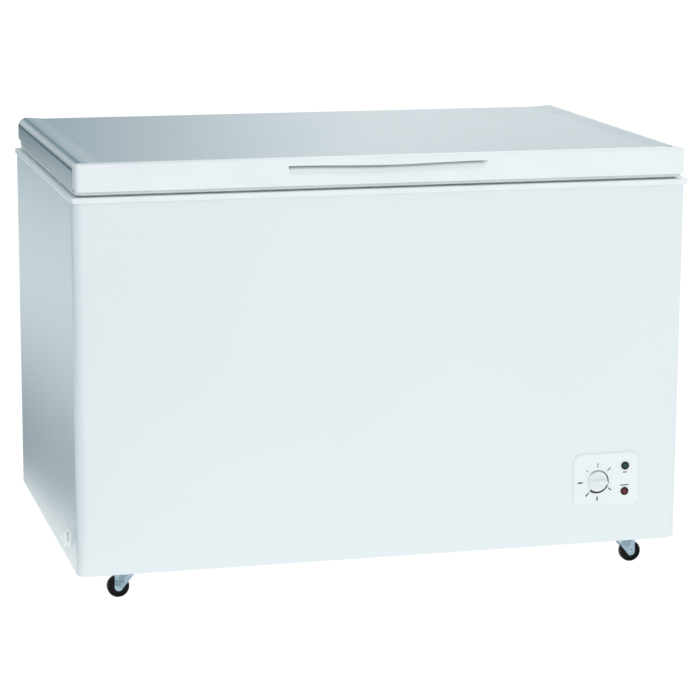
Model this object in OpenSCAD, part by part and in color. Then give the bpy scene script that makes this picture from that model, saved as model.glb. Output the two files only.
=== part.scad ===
// Chest freezer on four swivel casters, with a lid on two spring-balanced hinges.
// The front faces -Y, the origin is on the floor under the middle of the whole freezer.

/* [Cabinet] */
// Width across the side walls
body_w = 1225; // [1180:5:1260]
// Depth from the front sheet to the back sheet
body_d = 760; // [740:5:780]
// Height from the base pan to the face that the gasket meets
body_h = 735; // [700:5:760]
// Radius of the two front corners
corner_r = 20; // [14:1:30]
// Insulated wall, from the outer sheet to the cavity
wall_t = 65; // [62:1:70]
// Sheet steel thickness
sheet_t = 1; // [0.8:0.1:1.2]
// How far the rim collar stands out of the side walls
collar_side = 3.5; // [2:0.5:5]
// How far the rim collar stands out of the front
collar_out = 3; // [2:0.5:4]
// Height of the visible outer lip of the rim collar
collar_h = 11; // [9:1:14]

/* [Lid] */
// Height of the lid's front trim
lid_h = 51.5; // [48:0.5:56]
// Height of the band between the collar and the lid
gasket_h = 10; // [9:0.5:12]
// How far the lid reaches past the back sheet
lid_back = 17; // [15:0.5:17]
// Depth of the plastic trim along the lid's front
trim_d = 32; // [30:1:40]
// Radius of the lid's long top edges at the two ends
lid_edge_r = 18; // [14:1:22]
// How far the lid's ends stand in from the side walls
lid_in = 5.5; // [3:0.5:7]
// Width of the finger recess at the front face
handle_w = 398; // [360:2:440]
// Width to either side at which a hinge stands
hinge_x = 430; // [380:5:460]
// Opening angle of the lid
lid_open = 80; // [70:1:80]

/* [Machine compartment] */
// Inner width of the compressor compartment
comp_w = 264; // [250:2:280]
// Inner height of the compressor compartment
comp_h = 235; // [225:5:250]

/* [Control panel] */
// Width of the panel
panel_w = 139; // [134:1:150]
// Height of the panel
panel_h = 110; // [106:1:120]
// Distance from the panel's middle to the right wall
panel_in = 154; // [140:1:160]
// Height of the panel's middle over the base pan
panel_up = 130; // [120:1:140]
// Radius of the thermostat knob
knob_r = 22; // [20:0.5:24]

/* [Casters] */
// Height from the floor to the base pan
caster_h = 55; // [54:1:60]
// Radius of a wheel
wheel_r = 21.5; // [19:0.5:22]
// Width of a wheel
wheel_w = 16; // [14:1:18]
// Distance from the swivel axis to the wheel axle
trail = 14; // [12:1:15]
// Distance from a swivel axis to the side wall
caster_side = 98; // [95:1:110]
// Distance from a swivel axis to the front or back sheet
caster_in = 42; // [38:1:60]

/* [Basket] */
// Length of the basket along the cavity
basket_l = 290; // [240:10:320]
// Depth of the basket below its rails
basket_h = 205; // [160:5:210]

/* [Hidden] */
$fn = 48;

// Clearances
gap = 0.2;        // between parts fixed to each other
run = 0.3;        // between parts that move past each other
fit = 0.05;       // radial, in a running bore

// Main planes: the front and back sheets stand so that the knob and the hinges reach equally far
panel_t = 3;
knob_h = 17;
pivot_back = 24;
ear_r = 7;
half_w = body_w / 2;
front_y = (panel_t + 0.5 + knob_h - pivot_back - ear_r - body_d) / 2;
back_y = front_y + body_d;
base_z = caster_h;
rim_z = base_z + body_h;
lid_z = rim_z + gasket_h;
trim_top = lid_z + lid_h;
lid_top = trim_top - 1.5;
lid_ridge = trim_top + 1;

// Cavity and its step
cav_x = half_w - wall_t;
cav_front = front_y + wall_t;
cav_back = back_y - wall_t;
cav_r = 26;
liner_t = 1.2;
floor_z = base_z + 69;
comp_x = half_w - sheet_t - comp_w;
comp_top = base_z + comp_h;
step_x = comp_x - 60;
step_z = comp_top + 60;
ledge_out = 42;
ledge_z = rim_z - 14;
collar_t = 2;

// Steel and plastic colours
enamel = [0.93, 0.95, 0.95];
white_plastic = [0.96, 0.97, 0.97];
foam_yellow = [0.93, 0.87, 0.66];
zinc = [0.68, 0.74, 0.78];
black = [0.05, 0.05, 0.06];
copper = [0.72, 0.42, 0.26];
aluminium = [0.80, 0.82, 0.83];

// ---- shared shapes ----

// Rectangle from x0 to x1 and y0 to y1, front corners of radius rf, rear corners of radius rb.
module plan(x0, x1, y0, y1, rf, rb) {
    big = max(rf, rb);
    translate([x0 + big, y0]) square([x1 - x0 - 2 * big, y1 - y0]);
    translate([x0, y0 + rf]) square([x1 - x0, y1 - y0 - rf - rb]);
    if (rf > 0) {
        translate([x0 + rf, y0]) square([x1 - x0 - 2 * rf, big]);
        for (x = [x0 + rf, x1 - rf]) translate([x, y0 + rf]) circle(rf);
    }
    if (rb > 0) {
        translate([x0 + rb, y1 - big]) square([x1 - x0 - 2 * rb, big]);
        for (x = [x0 + rb, x1 - rb]) translate([x, y1 - rb]) circle(rb);
    }
}

// The cabinet's outline moved inwards by inset, standing from z0 to z1.
module body_block(inset, z0, z1, rear = 0) {
    translate([0, 0, z0]) linear_extrude(z1 - z0)
        plan(-half_w + inset, half_w - inset, front_y + inset, back_y - rear,
            max(corner_r - inset, 1), 0);
}

// A block with four equal upright corners, inset from the cabinet's outline.
module ring_block(inset, z0, z1, r) {
    translate([0, 0, z0]) linear_extrude(z1 - z0)
        plan(-half_w + inset, half_w - inset, front_y + inset, back_y - inset, r, r);
}

// The cavity grown by grow: the full width above the step and the deep tub beside it.
module cavity(grow, top) {
    r = cav_r + grow;
    translate([0, 0, step_z - grow]) linear_extrude(top - step_z + grow)
        plan(-cav_x - grow, cav_x + grow, cav_front - grow, cav_back + grow, r, r);
    translate([0, 0, floor_z - grow]) linear_extrude(step_z + 1 - floor_z + grow)
        plan(-cav_x - grow, step_x + grow, cav_front - grow, cav_back + grow, r, r);
}

// Cylinder along X from x0 to x1.
module along_x(x0, x1, r) {
    translate([x0, 0, 0]) rotate([0, 90, 0]) cylinder(h = x1 - x0, r = r);
}

// Cylinder along Y from y0 to y1.
module along_y(y0, y1, r) {
    translate([0, y1, 0]) rotate([90, 0, 0]) cylinder(h = y1 - y0, r = r);
}

// A flat XZ shape made solid from y0 to y1.
module facing_front(y0, y1) {
    translate([0, y1, 0]) rotate([90, 0, 0]) linear_extrude(y1 - y0) children();
}

// A flat YZ shape made solid from x0 to x1.
module facing_side(x0, x1) {
    translate([x0, 0, 0]) rotate([90, 0, 90]) linear_extrude(x1 - x0) children();
}

// Rectangle w by h about the origin with corners of radius r.
module round_rect(w, h, r) {
    square([w - 2 * r, h], center = true);
    square([w, h - 2 * r], center = true);
    for (x = [-1, 1], y = [-1, 1]) translate([x * (w / 2 - r), y * (h / 2 - r)]) circle(r);
}

// Pan-head screw with its head towards +Z and its shank below the origin.
module screw(head_r = 4.5, shank_r = 2.2, len = 12) {
    cylinder(h = 2.4, r = head_r);
    translate([0, 0, -len]) cylinder(h = len + 1, r = shank_r);
}

function unit(v) = v / norm(v);

// Points of an arc about c with radius r from angle a0 to a1.
function arc(c, r, a0, a1, n) =
    [for (i = [0:n]) let (a = a0 + (a1 - a0) * i / n) c + r * [cos(a), sin(a)]];

// The arc that rounds corner b of a path between a and c.
function bend(a, b, c, r, n) =
    let (u = unit(a - b), v = unit(c - b), phi = acos(u * v), mid = unit(u + v),
        m = b + mid * r / sin(phi / 2), d = r / tan(phi / 2),
        e = unit(b + u * d - m), f = unit(b + v * d - m), turn = 180 - phi)
    [for (i = [0:n]) let (w = turn * i / n)
        m + r * (e * sin(turn - w) + f * sin(w)) / sin(turn)];

// A path whose inner corners are rounded with radius r.
function rounded(p, r, n = 3) =
    [for (i = [0:len(p) - 1])
        each (i == 0 || i == len(p) - 1) ? [p[i]] : bend(p[i - 1], p[i], p[i + 1], r, n)];

function tangents(p) =
    [for (i = [0:len(p) - 1]) unit(p[min(i + 1, len(p) - 1)] - p[max(i - 1, 0)])];

// Normals carried along the path without twist, starting from the direction n.
function normals(t, n) =
    [for (i = 0, m = unit(n - (n * t[0]) * t[0]); i < len(t);
        i = i + 1, m = i < len(t) ? unit(m - (m * t[i]) * t[i]) : m) m];

// Closed tube of radius r swept along the points p.
module tube(p, r, sides = 8, n = [0.31, 0.52, 0.79]) {
    t = tangents(p);
    m = normals(t, n);
    last = len(p) - 1;
    pts = [for (i = [0:last], j = [0:sides - 1]) let (a = 360 * j / sides)
        p[i] + r * (cos(a) * m[i] + sin(a) * cross(t[i], m[i]))];
    walls = [for (i = [0:last - 1], j = [0:sides - 1])
        let (k = (j + 1) % sides, a = i * sides, b = a + sides)
        each [[a + j, b + j, b + k], [a + j, b + k, a + k]]];
    ends = [[for (j = [0:sides - 1]) j], [for (j = [sides - 1:-1:0]) last * sides + j]];
    polyhedron(points = pts, faces = concat(walls, ends), convexity = 6);
}

// ---- cabinet shell ----

panel_x = half_w - panel_in;
panel_z = base_z + panel_up;
drain_y = front_y + 100;
drain_z = base_z + 54;
grille_y0 = back_y - 330;
grille_y1 = back_y - 60;
grille_z0 = base_z + 60;
grille_z1 = base_z + 200;

// Outer sheet folded round the front and both sides, with return flanges at the back.
module cabinet_wrap() {
    top = rim_z - collar_t - gap;
    flange = 14;
    color(enamel) difference() {
        union() {
            difference() {
                body_block(0, base_z, top);
                body_block(sheet_t, base_z - 1, top + 1, -1);
            }
            for (s = [-1, 1]) translate([s > 0 ? half_w - flange : -half_w, back_y - sheet_t, base_z])
                cube([flange, sheet_t, body_h - collar_t - gap]);
        }
        translate([panel_x, 0, panel_z]) facing_front(front_y - 1, front_y + 5)
            square([panel_w - 11, panel_h - 11], center = true);
        translate([0, drain_y, drain_z]) along_x(-half_w - 1, -half_w + 5, 10.5);
        translate([half_w - 5, grille_y0 + 8, grille_z0 + 8])
            cube([6, grille_y1 - grille_y0 - 16, grille_z1 - grille_z0 - 16]);
    }
}

// Back sheet behind the return flanges, open at the compressor compartment.
module back_panel() {
    y = back_y - sheet_t - gap - 0.8;
    color(enamel) difference() {
        translate([-half_w + sheet_t + gap, y, base_z + 1.6])
            cube([body_w - 2 * (sheet_t + gap), 0.8, body_h - collar_t - 2]);
        translate([comp_x + 16, y - 1, base_z + 18])
            cube([comp_w - 34, 3, comp_h - 34]);
    }
}

// Bottom sheet with an upturned edge, air slots and fold lines under the compartment.
module base_pan() {
    color(zinc) difference() {
        body_block(sheet_t + gap, base_z, base_z + 14, 2.2);
        body_block(sheet_t + gap + 1, base_z + 1.2, base_z + 15, 3.2);
        for (i = [0:6]) translate([comp_x + 40 + 28 * i, -40, base_z - 1]) cube([10, 130, 4]);
    }
}

// White rim that covers the top of the walls, with a ledge that carries the basket.
module top_collar() {
    color(white_plastic) {
        difference() {
            translate([0, 0, rim_z - collar_h]) linear_extrude(collar_h)
                plan(-half_w - collar_side, half_w + collar_side, front_y - collar_out, back_y, 8, 0);
            body_block(-gap, rim_z - collar_h - 1, rim_z - collar_t, -5);
            ring_block(ledge_out + 1, rim_z - collar_h - 1, rim_z + 1, 43);
        }
        difference() {
            ring_block(ledge_out, ledge_z - 12, rim_z, 44);
            ring_block(ledge_out + 2, ledge_z, rim_z + 1, 42);
            ring_block(ledge_out + 2, ledge_z - 13, ledge_z - collar_t, 42);
            ring_block(wall_t - gap, ledge_z - 13, rim_z, cav_r + gap);
        }
    }
}

// Stepped tub that lines the cavity, with a drain hole in its floor.
module inner_liner() {
    color(white_plastic) difference() {
        cavity(liner_t, ledge_z - collar_t - gap);
        cavity(0, ledge_z);
        translate([drain_x, drain_y, floor_z - 3]) cylinder(h = 6, r = spout_bore + 0.3);
    }
}

// Foamed insulation between the shell and the tub, with channels for both coils and the drain.
module cabinet_foam() {
    skin = sheet_t + gap;
    rear = skin + 0.8 + gap;
    color(foam_yellow) difference() {
        union() {
            body_block(skin + 1 + gap, base_z + 1.4, base_z + 15, rear + 1.2);
            body_block(skin, base_z + 14.2, rim_z - collar_t - gap, rear);
        }
        cavity(liner_t + gap, rim_z);
        ring_block(ledge_out - gap, ledge_z - 12 - gap, rim_z, 44 + gap);
        translate([comp_x - liner_t - gap, front_y - 1, base_z])
            cube([comp_w + 20, body_d + 2, comp_h + liner_t + gap]);
        translate([0, drain_y, drain_z]) along_x(-half_w, drain_x + 13, spout_r + gap);
        translate([drain_x, drain_y, drain_z]) cylinder(h = floor_z - drain_z, r = spout_r + gap);
        for (z = evap_levels) intersection() {
            cavity(coil_reach, rim_z);
            translate([-half_w, front_y, z - 4.3]) cube([body_w, body_d, 8.6]);
        }
        translate([evap_x0 - 12, cav_back, evap_start_z - 4.3])
            cube([len(evap_levels) * evap_shift + 50, coil_reach, evap_top_z - evap_start_z + 9]);
        translate([evap_x0 - 12, cav_back, evap_start_z - 4.3])
            cube([comp_x - evap_x0 + 12, coil_reach, 8.6]);
        for (z = cond_levels) difference() {
            body_block(0, z - 2.8, z + 2.8, turn_in - 8);
            body_block(cond_reach, z - 3, z + 3, turn_in - 9);
        }
        for (s = [-1, 1]) translate([s > 0 ? half_w - cond_reach : -half_w, back_y - turn_in - 4,
            s > 0 ? comp_top : cond_levels[0]])
            cube([cond_reach, s > 0 ? turn_in - 20 : 8, cond_levels[3] - (s > 0 ? comp_top : cond_levels[0]) + 3]);
        translate([suction_x, suction_y, comp_top]) cylinder(h = evap_top_z - comp_top + 6, r = 4.3);
        translate([step_x, bulb_y - 45, knob_z - 4.5]) cube([12, 90, 9]);
        translate([step_x, bulb_y - 2, knob_z - 2]) cube([70, 4, 4]);
    }
}

// Steel partition between the foam and the machine compartment.
module compartment_wall() {
    color(zinc) difference() {
        intersection() {
            body_block(sheet_t + 2 * gap + 1, base_z + 1.4, comp_top + liner_t, 4);
            union() {
                translate([comp_x - liner_t, front_y, base_z]) cube([liner_t, body_d, comp_h + liner_t]);
                translate([comp_x - liner_t, front_y, comp_top]) cube([comp_w + 5, body_d, liner_t]);
            }
        }
        translate([suction_x, suction_y, comp_top - 1]) cylinder(h = 4, r = 4.5);
        for (d = [turn_in, return_in]) translate([cond_x, back_y - d, comp_top - 1]) cylinder(h = 4, r = 3.2);
        translate([0, evap_y, evap_start_z]) along_x(comp_x - 2, comp_x + 1, 4.5);
        translate([0, bulb_y, knob_z]) along_x(comp_x - 2, comp_x + 1, 2.5);
    }
}

// ---- refrigeration ----

evap_r = 4;
evap_in = liner_t + gap + evap_r;
coil_reach = evap_in + evap_r + gap;
evap_y = cav_back + evap_in;
evap_levels = [base_z + 150, base_z + 230, base_z + 340, base_z + 430, base_z + 520, base_z + 610];
evap_top_z = evap_levels[5];
evap_start_z = base_z + 80;
evap_x0 = -100;
evap_shift = 30;
cond_r = 2.4;
cond_in = sheet_t + gap + cond_r;
cond_reach = cond_in + cond_r + gap;
cond_x = half_w - cond_in;
cond_levels = [base_z + 290, base_z + 380, base_z + 470, base_z + 560];
turn_in = 60;
return_in = 30;
suction_x = cav_x + coil_reach + 5;
suction_y = 100;

// Evaporator tube wound round the outside of the tub, from the deep part up to the rim.
module evaporator_coil() {
    xl = -cav_x - evap_in;
    yf = cav_front - evap_in;
    turns = [for (k = [0:len(evap_levels) - 1])
        let (z = evap_levels[k], a = evap_x0 + evap_shift * k,
            xr = evap_in + (z < step_z ? step_x : cav_x))
        each [[a, evap_y, z], [xl, evap_y, z], [xl, yf, z], [xr, yf, z], [xr, evap_y, z],
            [a + evap_shift, evap_y, z]]];
    color(aluminium) tube(rounded(concat([[comp_x + 6, evap_y, evap_start_z],
        [evap_x0, evap_y, evap_start_z]], turns), 30, 4), evap_r);
}

// Condenser tube run to and fro inside the side and front sheets.
module condenser_coil() {
    yf = front_y + cond_in;
    rows = [for (k = [0:3]) let (s = k % 2 == 0 ? 1 : -1, z = cond_levels[k],
        y0 = back_y - turn_in, y1 = back_y - (k == 3 ? return_in : turn_in))
        each [[s * cond_x, y0, z], [s * cond_x, yf, z], [-s * cond_x, yf, z], [-s * cond_x, y1, z]]];
    path = concat([[cond_x, back_y - turn_in, comp_top - 25]], rows,
        [[cond_x, back_y - return_in, comp_top - 25]]);
    color(copper) tube(rounded(path, corner_r - cond_in, 5), cond_r);
}

comp_cx = comp_x + comp_w / 2 + 4;
comp_cy = back_y - 165;
tray_z = base_z + 1.4;
foot_z = base_z + 16.2;
foot_dx = 62;
foot_dy = 52;
pot_r = 70;
pot_z0 = foot_z + 5;
pot_wall_z = foot_z + 84;
dome_r = 45;

// The four places where the compressor stands on its rubbers.
module at_feet() {
    for (x = [-1, 1], y = [-1, 1])
        translate([comp_cx + x * foot_dx, comp_cy + y * foot_dy, 0]) children();
}

// Hermetic compressor pot on its foot plate.
module compressor() {
    profile = concat([[0, pot_z0]], arc([pot_r - 24, pot_z0 + 24], 24, -90, 0, 5),
        arc([pot_r - dome_r, pot_wall_z], dome_r, 0, 90, 8), [[0, pot_wall_z + dome_r]]);
    color(black) {
        translate([comp_cx, comp_cy, 0]) rotate_extrude() polygon(profile);
        translate([comp_cx, comp_cy, foot_z + 60]) cylinder(h = 3, r = pot_r + 2.5);
        difference() {
            translate([comp_cx - 76, comp_cy - 66, foot_z]) cube([152, 132, 3]);
            at_feet() translate([0, 0, foot_z - 1]) cylinder(h = 5, r = 8);
        }
        translate([comp_cx, comp_cy, foot_z + 2]) cylinder(h = 8, r = 48);
    }
}

// Galvanised tray that the compressor stands on.
module compressor_tray() {
    color(zinc) difference() {
        translate([comp_x + 14, comp_cy - 95, tray_z]) cube([comp_w - 24, 190, 2]);
        at_feet() translate([0, 0, tray_z - 1]) cylinder(h = 4, r = 4);
    }
}

// Rubber feet with a waist that holds the foot plate.
module compressor_grommets() {
    color(black) at_feet() difference() {
        union() {
            translate([0, 0, tray_z + 2]) cylinder(h = foot_z - gap - tray_z - 2, r = 11);
            translate([0, 0, tray_z + 2]) cylinder(h = foot_z + 5 - tray_z, r = 7.8);
            translate([0, 0, foot_z + 3.2]) cylinder(h = 3.6, r = 11);
        }
        translate([0, 0, tray_z]) cylinder(h = 30, r = 4.2);
    }
}

// Studs and nuts through the rubbers.
module compressor_bolts() {
    color(zinc) at_feet() {
        translate([0, 0, tray_z + 0.2]) cylinder(h = foot_z + 12 - tray_z, r = 3.9);
        translate([0, 0, foot_z + 7]) cylinder(h = 5, r = 7, $fn = 6);
    }
}

// Cover over the start relay and the overload switch on the pot's front.
module start_relay() {
    color([0.12, 0.12, 0.13]) difference() {
        translate([comp_cx - 28, comp_cy - pot_r - 34, foot_z + 14]) cube([56, 60, 56]);
        translate([comp_cx, comp_cy, foot_z]) cylinder(h = 100, r = pot_r + 2.7);
    }
}

drier_x = comp_x + 36;
drier_y = back_y - 42;
drier_z = base_z + 60;
drier_h = 90;

// Copper filter drier between the condenser and the capillary.
module filter_drier() {
    color(copper) translate([drier_x, drier_y, drier_z]) {
        cylinder(h = 12, r1 = 3, r2 = 9);
        translate([0, 0, 12]) cylinder(h = drier_h - 24, r = 9);
        translate([0, 0, drier_h - 12]) cylinder(h = 12, r1 = 9, r2 = 3);
    }
}

// Suction, discharge, drier inlet and capillary tubes.
module refrigerant_pipes() {
    stub = 37;
    stub_z = pot_wall_z + dome_r - 6;
    over_z = base_z + comp_h - 45;
    color(copper) {
        tube(rounded([[suction_x, suction_y, evap_top_z], [suction_x, suction_y, over_z],
            [comp_cx + stub, comp_cy, over_z], [comp_cx + stub, comp_cy, stub_z]], 12), 4);
        tube(rounded([[comp_cx - stub, comp_cy, stub_z], [comp_cx - stub, comp_cy, over_z + 12],
            [cond_x, back_y - turn_in, over_z + 12], [cond_x, back_y - turn_in, comp_top - 26]], 8), 2.4);
        tube(rounded([[cond_x, back_y - return_in, comp_top - 26], [cond_x, back_y - return_in, over_z - 8],
            [drier_x, drier_y, over_z - 8], [drier_x, drier_y, drier_z + drier_h]], 12), 2.4);
        tube(rounded([[drier_x, drier_y, drier_z], [drier_x, drier_y, drier_z - 24],
            [comp_x + 22, evap_y, drier_z - 24], [comp_x + 22, evap_y, evap_start_z],
            [comp_x + 7, evap_y, evap_start_z]], 6), 1.5);
    }
}

// Plastic grille over the air opening in the right wall.
module side_grille() {
    pitch = 18;
    count = floor((grille_z1 - grille_z0 - 20) / pitch);
    color(white_plastic) difference() {
        union() {
            translate([half_w, grille_y0, grille_z0]) cube([2.5, grille_y1 - grille_y0, grille_z1 - grille_z0]);
            translate([half_w - 6, grille_y0 + 8.3, grille_z0 + 8.3])
                cube([6.1, grille_y1 - grille_y0 - 16.6, grille_z1 - grille_z0 - 16.6]);
        }
        translate([half_w - 7, grille_y0 + 10.5, grille_z0 + 10.5])
            cube([7, grille_y1 - grille_y0 - 21, grille_z1 - grille_z0 - 21]);
        for (i = [0:count - 1]) translate([half_w - 8, grille_y0 + 14, grille_z0 + 14 + pitch * i])
            cube([14, grille_y1 - grille_y0 - 28, 9]);
    }
}

cover_y = back_y + 0.1;
gland_x = comp_x + 46;
gland_z = base_z + 44;

// Slotted steel cover over the back of the machine compartment.
module rear_cover() {
    x0 = comp_x + 4;
    w = comp_w - 8;
    color(zinc) difference() {
        translate([x0, cover_y, base_z + 5]) cube([w, 1, comp_h - 8]);
        for (i = [0:7], j = [0:1])
            translate([x0 + 24 + j * (w / 2 - 8), cover_y - 1, base_z + 84 + 16 * i]) cube([w / 2 - 40, 3, 7]);
        translate([gland_x, 0, gland_z]) along_y(cover_y - 1, cover_y + 2, 9);
    }
}

// Rubber gland where a supply lead would enter.
module cord_gland() {
    color(black) translate([gland_x, 0, gland_z]) difference() {
        union() {
            along_y(cover_y - 4, cover_y + 2, 8.8);
            along_y(cover_y + 1.1, cover_y + 3.2, 12);
            along_y(cover_y - 5.5, cover_y - 1.2, 11);
            translate([0, cover_y + 3, 0]) rotate([-90, 0, 0]) cylinder(h = 14, r1 = 8, r2 = 5.8);
        }
        along_y(cover_y - 10, cover_y + 20, 3.6);
    }
}

// ---- thermostat and control panel ----

knob_x = panel_x - 19;
knob_z = panel_z - 2;
lamp_x = panel_x + 39;
lamp_top_z = panel_z + 27.5;
lamp_low_z = panel_z - 25.2;
spindle_r = 3;
bulb_y = front_y + 130;

// Thermostat switch body behind the panel, bored for its spindle.
module thermostat() {
    color(zinc) difference() {
        union() {
            translate([knob_x - 23, front_y + 16, knob_z - 19]) cube([46, 30, 38]);
            translate([knob_x, 0, knob_z]) along_y(front_y + gap, front_y + 17, 6);
        }
        translate([knob_x, 0, knob_z]) along_y(front_y - 1, front_y + 34, spindle_r + fit);
    }
}

// Spindle that the knob turns.
module thermostat_spindle() {
    color(zinc) translate([knob_x, 0, knob_z]) along_y(front_y - 13, front_y + 32, spindle_r);
}

// Capillary from the thermostat to its sensing bulb on the tub's step.
module thermostat_bulb() {
    x = step_x + liner_t + gap + 3.6;
    color(copper) {
        tube(rounded([[knob_x, front_y + 45, knob_z], [knob_x, bulb_y, knob_z], [x, bulb_y, knob_z]], 10), 1);
        translate([x, 0, knob_z]) along_y(bulb_y - 40, bulb_y + 40, 3.5);
    }
}

// White panel plate with a rear frame that snaps into the front sheet.
module control_panel() {
    color(white_plastic) difference() {
        union() {
            translate([panel_x, 0, panel_z]) facing_front(front_y - panel_t, front_y)
                round_rect(panel_w, panel_h, 18);
            translate([panel_x, 0, panel_z]) facing_front(front_y - 0.1, front_y + 12) difference() {
                square([panel_w - 11.6, panel_h - 11.6], center = true);
                square([panel_w - 15.6, panel_h - 15.6], center = true);
            }
        }
        translate([knob_x, 0, knob_z]) along_y(front_y - 5, front_y + 2, spindle_r + 1);
        for (z = [lamp_top_z, lamp_low_z]) translate([lamp_x, 0, z]) along_y(front_y - 5, front_y + 2, 6.1);
    }
}

// Thermostat knob with a straight grip, turned to its off mark.
module knob() {
    face = front_y - panel_t - 0.5;
    color(white_plastic) difference() {
        translate([knob_x, face, knob_z]) rotate([90, 0, 0]) {
            cylinder(h = 9, r1 = knob_r + 0.5, r2 = knob_r - 0.7);
            intersection() {
                translate([-knob_r, -4.5, 8]) cube([2 * knob_r, 9, knob_h - 8]);
                cylinder(h = 20, r = knob_r - 1.5);
            }
        }
        translate([knob_x, 0, knob_z]) along_y(face - 10, face + 1, spindle_r + 0.02);
    }
}

// Pilot lamp with a dark bezel at height z.
module lamp(z, tint) {
    color(tint) translate([lamp_x, 0, z]) {
        along_y(front_y - panel_t - 1.4, front_y - panel_t, 7.6);
        along_y(front_y - panel_t - 3, front_y - panel_t, 5.6);
        along_y(front_y - panel_t - 1, front_y + 16, 6);
    }
}

module green_lamp() { lamp(lamp_top_z, [0.05, 0.40, 0.25]); }
module red_lamp() { lamp(lamp_low_z, [0.60, 0.08, 0.08]); }

// ---- drain ----

drain_x = -half_w + 112;
spout_r = 10;
spout_bore = 7;

// Drain spout from the tub's floor to a flange on the left wall.
module drain_spout() {
    color(white_plastic) difference() {
        union() {
            translate([0, drain_y, drain_z]) {
                along_x(-half_w - 3.5, -half_w - 0.1, 18.5);
                along_x(-half_w - 7, drain_x + 12, spout_r);
            }
            translate([drain_x, drain_y, drain_z])
                cylinder(h = floor_z - liner_t - 0.1 - drain_z, r = spout_r - 0.5);
        }
        translate([0, drain_y, drain_z]) along_x(-half_w - 8, drain_x, spout_bore);
        translate([drain_x, drain_y, drain_z]) cylinder(h = 30, r = spout_bore);
    }
}

// Screw-in cap outside, with a dished face and a hub.
module drain_cap() {
    color(white_plastic) translate([0, drain_y, drain_z]) difference() {
        union() {
            along_x(-half_w - 14, -half_w - 7.3, 18);
            along_x(-half_w - 8, -half_w + 8, spout_bore - 0.08);
        }
        difference() {
            along_x(-half_w - 15, -half_w - 11.5, 14.5);
            along_x(-half_w - 16, -half_w - 11, 8);
        }
    }
}

// Rubber stopper in the floor of the tub.
module drain_plug() {
    color([0.75, 0.77, 0.78]) translate([drain_x, drain_y, floor_z]) {
        translate([0, 0, run]) cylinder(h = 4, r = 14);
        translate([0, 0, -9]) cylinder(h = 10, r = spout_bore - 0.08);
        translate([0, 0, 4]) cylinder(h = 9, r = 4);
        translate([0, 0, 12]) cylinder(h = 4, r = 7);
    }
}

// ---- lid ----

lid_w = half_w - lid_in;
trim_front = front_y - 2;
trim_back = trim_front + trim_d;
lid_rear = back_y + lid_back;
relief = 9;
lip_z = trim_top - 13;
scoop_r = 21.5;
scoop_y = trim_front - 8;
scoop_half = handle_w / 2 - sqrt(scoop_r * scoop_r - 64);
plug_in = 70;
plug_z = lid_z - 12;

// The lid's XZ outline, moved inwards by inset and cut off at z = low.
function lid_outline(inset, low) =
    let (w = lid_w - inset, r = lid_edge_r, cz = lid_ridge - r, top = lid_top - inset)
    concat([[-w, low]], arc([-lid_w + r, cz], r - inset, 180, 90, 8), [[-lid_w + r + 34, top]],
        [[lid_w - r - 34, top]], arc([lid_w - r, cz], r - inset, 90, 0, 8), [[w, low]]);

// Painted steel lid skin: top, rolled ends, and rear wall with its turned-in lower edge.
module lid_skin() {
    color([0.80, 0.84, 0.86]) difference() {
        union() {
            difference() {
                facing_front(trim_back + gap, lid_rear) polygon(lid_outline(0, lid_z));
                facing_front(trim_back - 1, lid_rear - sheet_t) polygon(lid_outline(sheet_t, lid_z - 1));
            }
            translate([-lid_w + 0.5, back_y - 5.8, lid_z + relief])
                cube([2 * lid_w - 1, lid_back + 5.8, sheet_t]);
        }
        facing_side(-half_w - 1, half_w + 1)
            polygon([[lid_rear - 62, lid_z - 1], [lid_rear + 1, lid_z - 1],
                [lid_rear + 1, lid_z + relief], [lid_rear - 36, lid_z + relief]]);
    }
}

// Finger recess: a trough with round ends under a straight lip.
module scoop(r, lip) {
    intersection() {
        translate([0, scoop_y, lip_z]) union() {
            along_x(-scoop_half, scoop_half, r);
            for (s = [-1, 1]) translate([s * scoop_half, 0, 0]) sphere(r);
        }
        translate([-half_w, scoop_y - 40, lip_z - 60]) cube([body_w, 80, 60 + lip]);
    }
}

// White moulding along the lid's front, hollow behind, with the finger recess in its face.
module lid_front_trim() {
    wall = 2.5;
    color(white_plastic) difference() {
        translate([0, 0, lid_z]) linear_extrude(lid_h)
            plan(-lid_w, lid_w, trim_front, trim_back, 9, 0);
        difference() {
            translate([-lid_w + wall, trim_front + wall, lid_z + wall])
                cube([2 * (lid_w - wall), trim_d, lid_h - 2 * wall]);
            scoop(scoop_r + wall, wall);
        }
        scoop(scoop_r, 0);
    }
}

// Inner lid panel with a shallow plug that drops inside the rim.
module lid_liner() {
    color(white_plastic) {
        difference() {
            union() {
                translate([-lid_w + sheet_t + gap, trim_back + gap, lid_z])
                    cube([2 * (lid_w - sheet_t - gap), back_y - 6 - trim_back, liner_t]);
                ring_block(plug_in, plug_z, lid_z + liner_t, cav_r);
            }
            ring_block(plug_in + liner_t, plug_z + liner_t, lid_z + 5, cav_r - liner_t);
        }
        translate([-lid_w + sheet_t + gap, back_y - 7, lid_z])
            cube([2 * (lid_w - sheet_t - gap), liner_t, relief]);
    }
}

// Foam that fills the lid between its skin and its inner panel.
module lid_foam() {
    t = sheet_t + gap;
    color(foam_yellow) {
        difference() {
            facing_front(trim_back + 2 * gap, lid_rear - t) polygon(lid_outline(t, lid_z + liner_t + gap));
            translate([-half_w, back_y - 7 - gap, lid_z - 1]) cube([body_w, lid_back + 20, relief + 1 + t]);
            translate([-lid_w, lid_rear - 64, lid_z]) cube([sheet_t + 3, 70, relief + 2]);
            translate([lid_w - sheet_t - 3, lid_rear - 64, lid_z]) cube([sheet_t + 3, 70, relief + 2]);
        }
        ring_block(plug_in + liner_t + gap, plug_z + liner_t + gap, lid_z + 2, cav_r - liner_t - gap);
    }
}

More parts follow.
